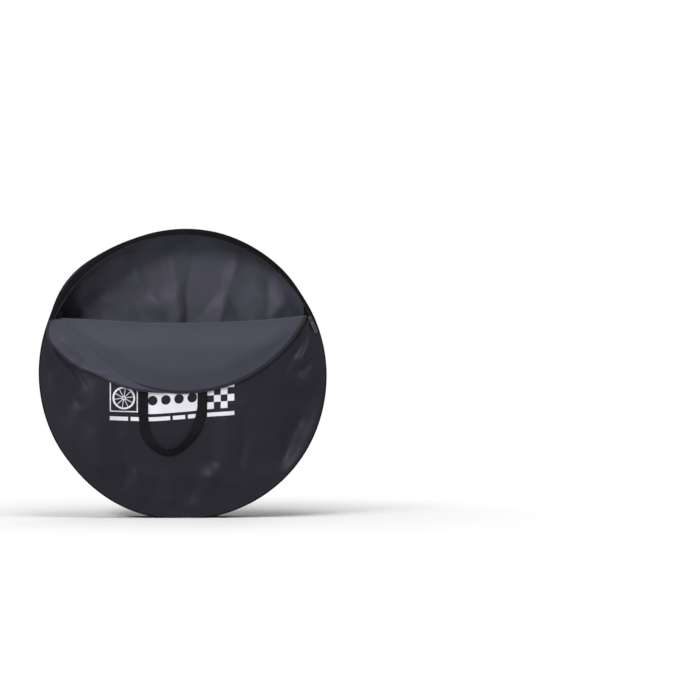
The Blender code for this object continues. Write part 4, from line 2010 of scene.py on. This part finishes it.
    def build(self) -> None:
        """Builds the whole zip."""
        self.build_tapes()
        self.build_rows()
        self.build_border()
        ends = (("left", -1.0), ("right", 1.0))
        for end, side in ends:
            self.build_tab("zip_tab_" + end, side)
        for end, side in ends:
            self.build_web("corner_web_" + end, side)
        for end, _ in ends:
            self.cast("zip_stop_" + end, "end_stop_" + end, Part.BAG, width=0.00035)


@dataclass
class Slider(Bench):
    """The slider with its crown and its puller, which has a raised rim."""

    rim: float = 0.00075
    rim_start: float = 0.0125
    rim_turn: float = 0.8

    def build_rim(self) -> None:
        """The raised rim round the puller's grip."""
        pin = Vector(JOINTS["puller_swing"]["pos_m"])
        corners = [vertex.co for vertex in frame["nodes"]["puller"].data.vertices]
        centre = sum(corners, Vector()) / len(corners)
        down = Vector((centre.x - pin.x, 0.0, centre.z - pin.z)).normalized()
        across = Vector((-down.z, 0.0, down.x))
        depth = (min(corner.y for corner in corners) + max(corner.y for corner in corners)) / 2
        far = max((corner - pin).dot(down) for corner in corners) - self.rim
        half = max((corner - pin).dot(across) for corner in corners) - self.rim
        turn = half * self.rim_turn
        path = []
        for low, side, start in ((True, 1, 0), (False, 1, 90), (False, -1, 180), (True, -1, 270)):
            mid_down = (far - turn) if low else (self.rim_start + turn)
            for angle in spread(start, start + 90, steps=8):
                along, aside = on_circle(turn, math.radians(angle))
                spot = pin + down * (mid_down + along) + across * (side * (half - turn) + aside)
                path.append((spot.x, depth, spot.z))
        unit = Unit(pitch=0.001, length=0.001, thickness=self.rim)
        obj = self.work.run("pull_rim", self.work.cord, [path], self.palette.bright, unit, closed=True)
        self.maker.hang(obj, Part.PULLER, "zip_metal")

    def build(self) -> None:
        """Builds the slider's pieces with rounded edges."""
        for node, name, part, width in (
            ("slider_body", "slider_plates", Part.SLIDER, 0.00035),
            ("slider_crown", "slider_bridge", Part.SLIDER, 0.00028),
            ("puller", "pull_tag", Part.PULLER, 0.00030),
        ):
            self.cast(node, name, part, width, segments=3, angle=28.0)
        self.build_rim()


# The handles


@dataclass
class Handles(Bench):
    """The webbing handles with their sewn ends."""

    flap: Flap
    width: float = 0.025
    thick: float = 0.0015
    shift: float = -0.027
    half: float = 0.078
    cant: float = math.radians(38.0)
    cant_below: float = 0.245
    cant_fade: float = 0.06
    cant_centre: float = 0.262
    pressed: float = 0.0003
    end_gap: float = 0.0002
    front_box: Point2 = (0.006, 0.040)
    rear_box: Point2 = (0.012, 0.006)
    rear_tail: float = 0.0012
    half_profile: tuple[Point2, ...] = (
        (-0.5, -0.25), (-0.485, -0.5), (-0.3, -0.5), (0.0, -0.5), (0.3, -0.5), (0.485, -0.5), (0.5, -0.25),
    )

    def strap(self, name: str, path: Sequence[Vector], facing: Facing) -> Piece:
        """A flat strap along a path.

        Args:
            name: name of the piece.
            path: the strap's middle line.
            facing: which way its face looks at a place.

        Returns:
            The new piece, with its flat map.
        """
        profile = self.half_profile + tuple((-a, -b) for a, b in self.half_profile)
        rows, flat, run = [], [], 0.0
        for i, place in enumerate(path):
            before, after = path[max(0, i - 1)], path[min(len(path) - 1, i + 1)]
            if i:
                run += (place - path[i - 1]).length
            tangent, face = (after - before).normalized(), facing(place)
            face = (face - tangent * face.dot(tangent)).normalized()
            side = tangent.cross(face).normalized()
            ring = [place + side * (a * self.width) + face * (b * self.thick) for a, b in profile]
            rows.append([tuple(point) for point in ring])
            flat.append([(run, a * self.width) for a, _ in profile + profile[:1]])
        obj = self.maker.grid(name, rows, flat, round_columns=True)
        with reshaped(obj.data) as shape:
            ends = [edge for edge in shape.edges if edge.is_boundary]
            bmesh.ops.holes_fill(shape, edges=ends, sides=20)
            bmesh.ops.recalc_face_normals(shape, faces=shape.faces)
        obj.data.materials.append(self.palette.webbing)
        return self.maker.smooth(obj, angle=50.0)

    def build_end(
        self,
        node: str,
        part: Part,
        x: float,
        heights: Sequence[float],
        depth: Callable[[float], float],
        facing: Facing,
        box: Point2,
    ) -> None:
        """A strap's sewn end, with a box of stitches and a cross in it.

        Args:
            node: the CAD node that it stands for.
            part: the body it moves with.
            x: its place across.
            heights: the heights of its middle line.
            depth: the depth of its middle at a height.
            facing: which way its face looks.
            box: upper and lower end of the box of stitches.
        """
        name = node.replace("handle_end", "strap")
        obj = self.strap(name, [Vector((x, depth(z), z)) for z in heights], facing)
        self.maker.hang(obj, part, "webbing", [node])
        (top, low), reach = box, self.width * 0.40
        corners = [(x - reach, top), (x + reach, top), (x + reach, low), (x - reach, low)]
        paths, shares = [], spread(0.0, 1.0, steps=12)
        for i, j in ((0, 1), (1, 2), (2, 3), (3, 0), (0, 2), (1, 3)):
            (ax, az), (bx, bz) = corners[i], corners[j]
            spots = [(ax + (bx - ax) * share, az + (bz - az) * share) for share in shares]
            paths.append([(across, depth(z) + self.thick / 2, z) for across, z in spots])
        self.sew(name + "_stitches", paths, part, "webbing", STRAP_STITCH)

    def build_front(self) -> None:
        """The front handle: it hangs from under the flap, a little to the left."""
        _, y, bend = JOINTS["front_handle_swing"]["pos_m"]
        left, right, middle = self.shift - self.half, self.shift + self.half, self.places.middle
        marks = [
            (left, y, bend), (left, y - 0.0002, bend - 0.036), (left + 0.003, y - 0.0012, 0.2400),
            (left + 0.010, y - 0.0034, 0.2130), (left + 0.026, y - 0.0062, 0.1930),
            (-0.0610, y - 0.0078, 0.1800), (-0.0400, y - 0.0082, 0.1742), (-0.0180, y - 0.0076, 0.1790),
            (0.0040, y - 0.0058, 0.1945), (0.0225, y - 0.0036, 0.2160), (0.0400, y - 0.0016, 0.2500),
            (right - 0.0015, y - 0.0004, bend - 0.022), (right, y, bend),
        ]

        def facing(place: Vector) -> Vector:
            """Forwards, and canted away from the loop's centre low down.

            Args:
                place: a place on the strap.

            Returns:
                The direction.
            """
            turn = self.cant * smooth_step((self.cant_below - place.z) / self.cant_fade)
            inward = Vector((self.shift - place.x, 0.0, self.cant_centre - place.z)).normalized()
            return forward(place) * math.cos(turn) - inward * math.sin(turn)

        obj = self.strap("front_loop", smooth_line(marks, steps=130), facing)
        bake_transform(obj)
        self.maker.enter(obj, "webbing", ["front_handle_loop"])
        for node, x in (("front_handle_end_left", left), ("front_handle_end_right", right)):
            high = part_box(node)[1]

            def depth(z: float) -> float:
                """Depth of the strap's middle, which follows the flap."""
                return y - max(0.0, self.flap.swell(x, z - middle) - self.pressed)

            heights = spread(bend + self.end_gap, high.z, steps=30)
            box = (high.z - self.front_box[0], high.z - self.front_box[1])
            self.build_end(node, Part.FLAP, x, heights, depth, forward, box)

    def build_rear(self) -> None:
        """The rear handle, hanging on the back."""
        bend = JOINTS["rear_handle_swing"]["pos_m"][2]
        low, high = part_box("rear_handle_loop")
        y, half, bottom = (low.y + high.y) / 2, self.half, low.z + self.width / 2
        right = [
            (half * 0.62, y + 0.002, bottom + 0.026), (half - 0.008, y + 0.001, bend - 0.130),
            (half - 0.001, y, bend - 0.085), (half, y, bend - 0.040), (half, y, bend),
        ]
        marks = [(-x, depth, z) for x, depth, z in reversed(right)] + [(0.0, y + 0.0025, bottom)] + right
        obj = self.strap("rear_loop", smooth_line(marks, steps=140), rearward)
        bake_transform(obj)
        self.maker.enter(obj, "webbing", ["rear_handle_loop"])
        for node, x in (("rear_handle_end_left", -half), ("rear_handle_end_right", half)):
            low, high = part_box(node)
            middle = (low.y + high.y) / 2
            heights = spread(low.z, high.z + self.rear_tail, steps=24)
            box = (high.z - self.rear_box[0], low.z + self.rear_box[1])
            self.build_end(node, Part.BAG, x, heights, lambda _: middle, rearward, box)

    def build(self) -> None:
        """Builds both handles."""
        self.build_front()
        self.build_rear()


# The print


@dataclass
class Print(Bench):
    """A plain white print: a wheel in a frame, a block with round spots, checks and a stripe."""

    shell: Shell
    grain: float = 0.0032
    film: float = 0.00016
    clear: float = 0.00032
    check: float = 0.018
    left: float = -0.194
    drape: tuple[Point2, ...] = (
        (-0.200, 0.0015), (-0.140, -0.0010), (-0.080, -0.0020), (0.000, 0.0035), (0.060, 0.0090),
        (0.140, 0.0150),
    )
    dashes: tuple[Point2, ...] = (
        (-0.194, -0.146), (-0.139, -0.103), (-0.095, -0.034), (-0.027, 0.006), (0.013, 0.048), (0.064, 0.136),
    )
    points: list[Point3] = field(default_factory=list)
    faces: list[tuple[int, int, int]] = field(default_factory=list)

    @staticmethod
    def ring(x: float, z: float, radius: float, steps: int = 40) -> list[Point2]:
        """A circle of points."""
        turns = [on_circle(radius, angle) for angle in spread(0.0, math.tau, steps)[:-1]]
        return [(x + across, z + up) for across, up in turns]

    def box(self, left: float, right: float, low: float, high: float) -> list[Point2]:
        """A rectangle of points, close enough together to follow the cloth.

        Args:
            left: its left side.
            right: its right side.
            low: its lower side.
            high: its upper side.

        Returns:
            The points, once round.
        """
        out: list[Point2] = []
        corners = [(left, low), (right, low), (right, high), (left, high)]
        for (ax, az), (bx, bz) in zip(corners, corners[1:] + corners[:1]):
            steps = max(1, round(math.hypot(bx - ax, bz - az) / self.grain))
            out += [(ax + (bx - ax) * i / steps, az + (bz - az) * i / steps) for i in range(steps)]
        return out

    @staticmethod
    def inside(point: Point2, loops: Sequence[Sequence[Point2]]) -> bool:
        """Tells whether a point lies on the print's ink.

        Args:
            point: the point.
            loops: the outlines of the ink.

        Returns:
            True on the ink.
        """
        hit = False
        for loop in loops:
            for (ax, az), (bx, bz) in zip(loop, list(loop[1:]) + [loop[0]]):
                if (az > point[1]) != (bz > point[1]):
                    if point[0] < (bx - ax) * (point[1] - az) / (bz - az) + ax:
                        hit = not hit
        return hit

    def patch(self, *loops: Sequence[Point2]) -> None:
        """Adds one inked shape with these outer and inner outlines, laid on the cloth.

        Args:
            loops: the outer outline, then any holes.
        """
        given, edges = [], []
        for loop in loops:
            first = len(given)
            given += [Vector(p) for p in loop]
            edges += [(first + i, first + (i + 1) % len(loop)) for i in range(len(loop))]
        right, high = max(p.x for p in given), max(p.y for p in given)
        outline, left = list(given), min(p.x for p in given)
        z = min(p.y for p in given) + self.grain
        while z < high:
            x = left + self.grain
            while x < right:
                spot = Vector((x, z))
                if self.inside((x, z), loops) and min((spot - p).length for p in outline) > self.grain * 0.5:
                    given.append(spot)
                x += self.grain
            z += self.grain
        flat, _, triangles, *_ = delaunay_2d_cdt(given, edges, [], 0, 1e-6)
        first = len(self.points)
        for p in flat:
            z = p.y + through(self.drape, p.x)
            room = self.shell.front_edge(math.atan2(z, p.x)) - math.hypot(p.x, z)
            depth = self.shell.front_y(p.x, z, self.shell.calm(room)) - self.clear
            self.points.append((p.x, depth, self.places.middle + z))
        for a, b, c in triangles:
            centre = (flat[a] + flat[b] + flat[c]) / 3
            if self.inside((centre.x, centre.y), loops):
                self.faces.append((first + a, first + b, first + c))

    def draw_wheel(self) -> None:
        """A spoked wheel in a square frame."""
        left, low, high, wide, line = self.left, -0.0970, -0.0130, 0.074, 0.0028
        self.patch(
            self.box(left, left + wide, low, high),
            self.box(left + line, left + wide - line, low + line, high - line),
        )
        rim, rim_inside, hub, hub_hole = 0.0300, 0.0252, 0.0060, 0.0025
        spokes, start, end, half = 10, 0.0064, 0.0248, 0.0019 / 2
        x, z = left + wide / 2, low + wide / 2
        self.patch(self.ring(x, z, rim), self.ring(x, z, rim_inside))
        self.patch(self.ring(x, z, hub, steps=20), self.ring(x, z, hub_hole, steps=12))
        for i in range(spokes):
            across, up = on_circle(1.0, math.tau * (i + 0.25) / spokes)
            near, far = (x + start * across, z + start * up), (x + end * across, z + end * up)
            side, rise = -up * half, across * half
            self.patch(
                [
                    (near[0] + side, near[1] + rise), (near[0] - side, near[1] - rise),
                    (far[0] - side, far[1] - rise), (far[0] + side, far[1] + rise),
                ]
            )

    def build(self) -> None:
        """Builds the print as one thin film."""
        self.draw_wheel()
        first, apart, up, radius = -0.0805, 0.0350, -0.0655, 0.0128
        spots = [self.ring(first + apart * i, up, radius, steps=32) for i in range(4)]
        self.patch(self.box(left=-0.103, right=0.046, low=-0.1010, high=-0.030), *spots)
        for i in range(4):
            for j in range(i % 2, 5, 2):
                x, z = 0.064 + self.check * i, -0.1000 + self.check * j
                self.patch(self.box(x, x + self.check, z, z + self.check))
        for start, end in self.dashes:
            self.patch(self.box(start, end, low=-0.1200, high=-0.1095))
        obj = self.maker.mesh("white_print", self.points, self.faces)
        self.maker.cloth(obj, forward, (self.palette.ink,), self.film)
        self.maker.hang(obj, Part.BAG, "print", ["print_film"])


# Seams


@dataclass
class Seams(Bench):
    """Rows of stitches along the cloth's seams."""

    flap: Flap
    border_inset: float = 0.0056
    border_stand: float = 0.00125
    tape_insets: Point2 = (0.0022, 0.0072)
    tape_stand: float = 0.00095
    tape_right: float = math.radians(27.5)
    tape_left: float = math.radians(150.0)
    panel_inset: float = 0.0062
    front_start: float = 0.08
    front_stand: float = 0.00015
    back_sink: float = 0.0004

    def panel_seam(self, side: Side, angles: Sequence[float], depth: float) -> list[Point3]:
        """A line of this depth just inside a panel's piping."""
        inset = self.panel_inset
        return [(x, depth, z) for x, z in (self.outline.point(angle, inset, inset, side) for angle in angles)]

    def build(self) -> None:
        """Sews the border, the flap's tape, the lower front and the back."""
        places, end = self.places, self.places.zip_end
        radius, depth = places.zip_radius + self.border_inset, places.front - self.border_stand
        run = places.arc(radius, end, math.pi - end, depth, steps=420)
        self.sew("border_stitches", [run], Part.BAG, "edge_cloth")
        rows = []
        for inset in self.tape_insets:
            radius = places.zip_radius - places.row_gap - inset
            closed = places.arc(radius, self.tape_right, self.tape_left, 0.0, steps=420)
            rows.append(self.flap.laid_on(closed, self.tape_stand))
        self.sew("tape_stitches", rows, Part.FLAP, "zip_tape")
        start = math.pi - end + self.front_start
        angles = spread(start, math.tau + end - self.front_start, steps=620)
        run = self.panel_seam(Side.FRONT, angles, places.front - self.front_stand)
        self.sew("front_stitches", [run], Part.BAG, "outer_cloth")
        angles = spread(0.0, math.tau, steps=700)[:-1]
        run = self.panel_seam(Side.BACK, angles, places.rear - self.back_sink)
        self.sew("back_stitches", [run], Part.BAG, "outer_cloth", closed=True)


# The studio


@dataclass
class Studio:
    """Floor, light and camera."""

    scale: float = 0.002655
    distance: float = 14.0
    elevation: float = math.radians(2.0)
    spot: Point2 = (183.0, 375.0)
    size: int = 700
    sensor: float = 36.0
    soft_light: float = 0.27
    floor_half: float = 40.0
    floor_fade: Point2 = (0.20, 1.1)
    lamp_aim: Point3 = (0.0, 0.0, 0.40)
    lamps: tuple[tuple[str, Point3, float, float], ...] = (
        ("key", (-2.3, -4.1, 2.7), 1.2, 130.0),
        ("fill", (-2.9, -2.9, 3.3), 1.5, 60.0),
        ("top", (0.3, -1.0, 3.4), 1.6, 44.0),
        ("rear", (1.6, 3.6, 2.2), 2.2, 46.0),
    )

    @staticmethod
    def look(obj: Piece, aim: Vector) -> None:
        """Turns a lamp or a camera towards a place."""
        obj.rotation_euler = (aim - obj.location).to_track_quat("-Z", "Y").to_euler()

    def camera(self, places: Places) -> None:
        """Sets the camera where the photo's bag is seen from.

        Args:
            places: the bag's places.
        """
        data = bpy.data.cameras.new("camera")
        data.lens_unit = "MILLIMETERS"
        data.sensor_width = self.sensor
        data.lens = self.sensor * self.distance / (self.scale * self.size)
        data.clip_end = 200.0
        camera = add_object("camera", data)
        target, tilt = Vector((0.0, places.front, places.middle)), self.elevation
        camera.location = target + Vector((0.0, -math.cos(tilt), math.sin(tilt))) * self.distance
        across, up = ((self.size / 2 - at) * self.scale for at in self.spot)
        self.look(camera, target + Vector((across, 0.0, -up / math.cos(tilt))))
        bpy.context.scene.camera = camera

    def light(self) -> None:
        """Soft square lamps round the bag."""
        for name, place, size, power in self.lamps:
            data = bpy.data.lights.new(name, "AREA")
            data.shape = "SQUARE"
            data.size = size
            data.energy = power
            lamp = add_object(name, data)
            lamp.location = place
            self.look(lamp, Vector(self.lamp_aim))

    @staticmethod
    def seen(tree: Tree) -> Socket:
        """1 for rays from the camera, off a gloss or through glass, else 0.

        Args:
            tree: the tree that it is added to.

        Returns:
            The output that tells them apart.
        """
        rays = add_node(tree, "ShaderNodeLightPath").outputs
        either = add_sum(tree, "MAXIMUM", rays["Is Camera Ray"], rays["Is Glossy Ray"])
        return add_sum(tree, "MAXIMUM", either, rays["Is Transmission Ray"])

    @staticmethod
    def mix(tree: Tree, out: str, share: Socket, first: Socket, second: Socket) -> None:
        """Ends a tree in a mix of two shaders."""
        mixed = add_node(tree, "ShaderNodeMixShader", {0: share, 1: first, 2: second})
        add_node(tree, out, {0: mixed.outputs[0]})

    def world(self) -> None:
        """White to the camera, and a level soft light on the bag."""
        world = bpy.data.worlds.new("studio")
        bpy.context.scene.world = world
        world.use_nodes = True
        tree = world.node_tree
        tree.nodes.clear()
        light = add_node(tree, "ShaderNodeBackground", {0: (0.96, 0.96, 1.0, 1.0), 1: self.soft_light})
        white = add_node(tree, "ShaderNodeBackground", {0: (1.0, 1.0, 1.0, 1.0), 1: 1.0})
        self.mix(tree, "ShaderNodeOutputWorld", self.seen(tree), light.outputs[0], white.outputs[0])

    def floor(self) -> None:
        """A plain pale floor that fades into the white and keeps the bag's shadow."""
        data, half = bpy.data.meshes.new("floor"), self.floor_half
        corners = [(-half, -half, 0), (half, -half, 0), (half, half, 0), (-half, half, 0)]
        data.from_pydata(corners, [], [(0, 1, 2, 3)])
        floor = add_object("floor", data)
        material = bpy.data.materials.new("pale floor")
        material.use_nodes = True
        tree = material.node_tree
        tree.nodes.clear()
        matte = add_node(tree, "ShaderNodeBsdfDiffuse", {0: (0.90, 0.90, 0.90, 1.0)})
        glow = add_node(tree, "ShaderNodeEmission", {0: (1.0, 1.0, 1.0, 1.0)})
        places = add_node(tree, "ShaderNodeTexCoord")
        inputs = {0: places.outputs["Object"]}
        length = add_node(tree, "ShaderNodeVectorMath", inputs, operation="LENGTH")
        start, end = self.floor_fade
        inputs = {"From Min": start, "From Max": end, "Value": length.outputs["Value"]}
        fade = add_node(tree, "ShaderNodeMapRange", inputs, interpolation_type="SMOOTHSTEP")
        share = add_sum(tree, "MULTIPLY", fade.outputs[0], self.seen(tree))
        self.mix(tree, "ShaderNodeOutputMaterial", share, matte.outputs[0], glow.outputs[0])
        data.materials.append(material)

    def build(self, places: Places) -> None:
        """Sets up the whole studio.

        Args:
            places: the bag's places.
        """
        self.camera(places)
        self.world()
        self.floor()
        self.light()
        bpy.context.scene.view_settings.view_transform = "Standard"
        log.info("studio: camera %.0f mm at %.1f m", bpy.context.scene.camera.data.lens, self.distance)


def main() -> None:
    """Builds the bag, piece by piece, and the studio round it."""
    logging.basicConfig(level=logging.INFO, format="%(name)s %(message)s")
    places, maker, palette = Places(), Maker(), Palette()
    Studio().build(places)
    bench = (maker, palette, PathWork(maker), places, Outline())
    shell = Shell(*bench)
    flap = Flap(*bench, shell)
    shell.build()
    flap.build()
    LeftCorner(*bench, flap).build()
    Zip(*bench, flap).build()
    Slider(*bench).build()
    Handles(*bench, flap).build()
    Print(*bench, shell).build()
    Seams(*bench, flap).build()
    log.info("made %d pieces", len(maker.made))


if __name__ == "__main__":
    main()
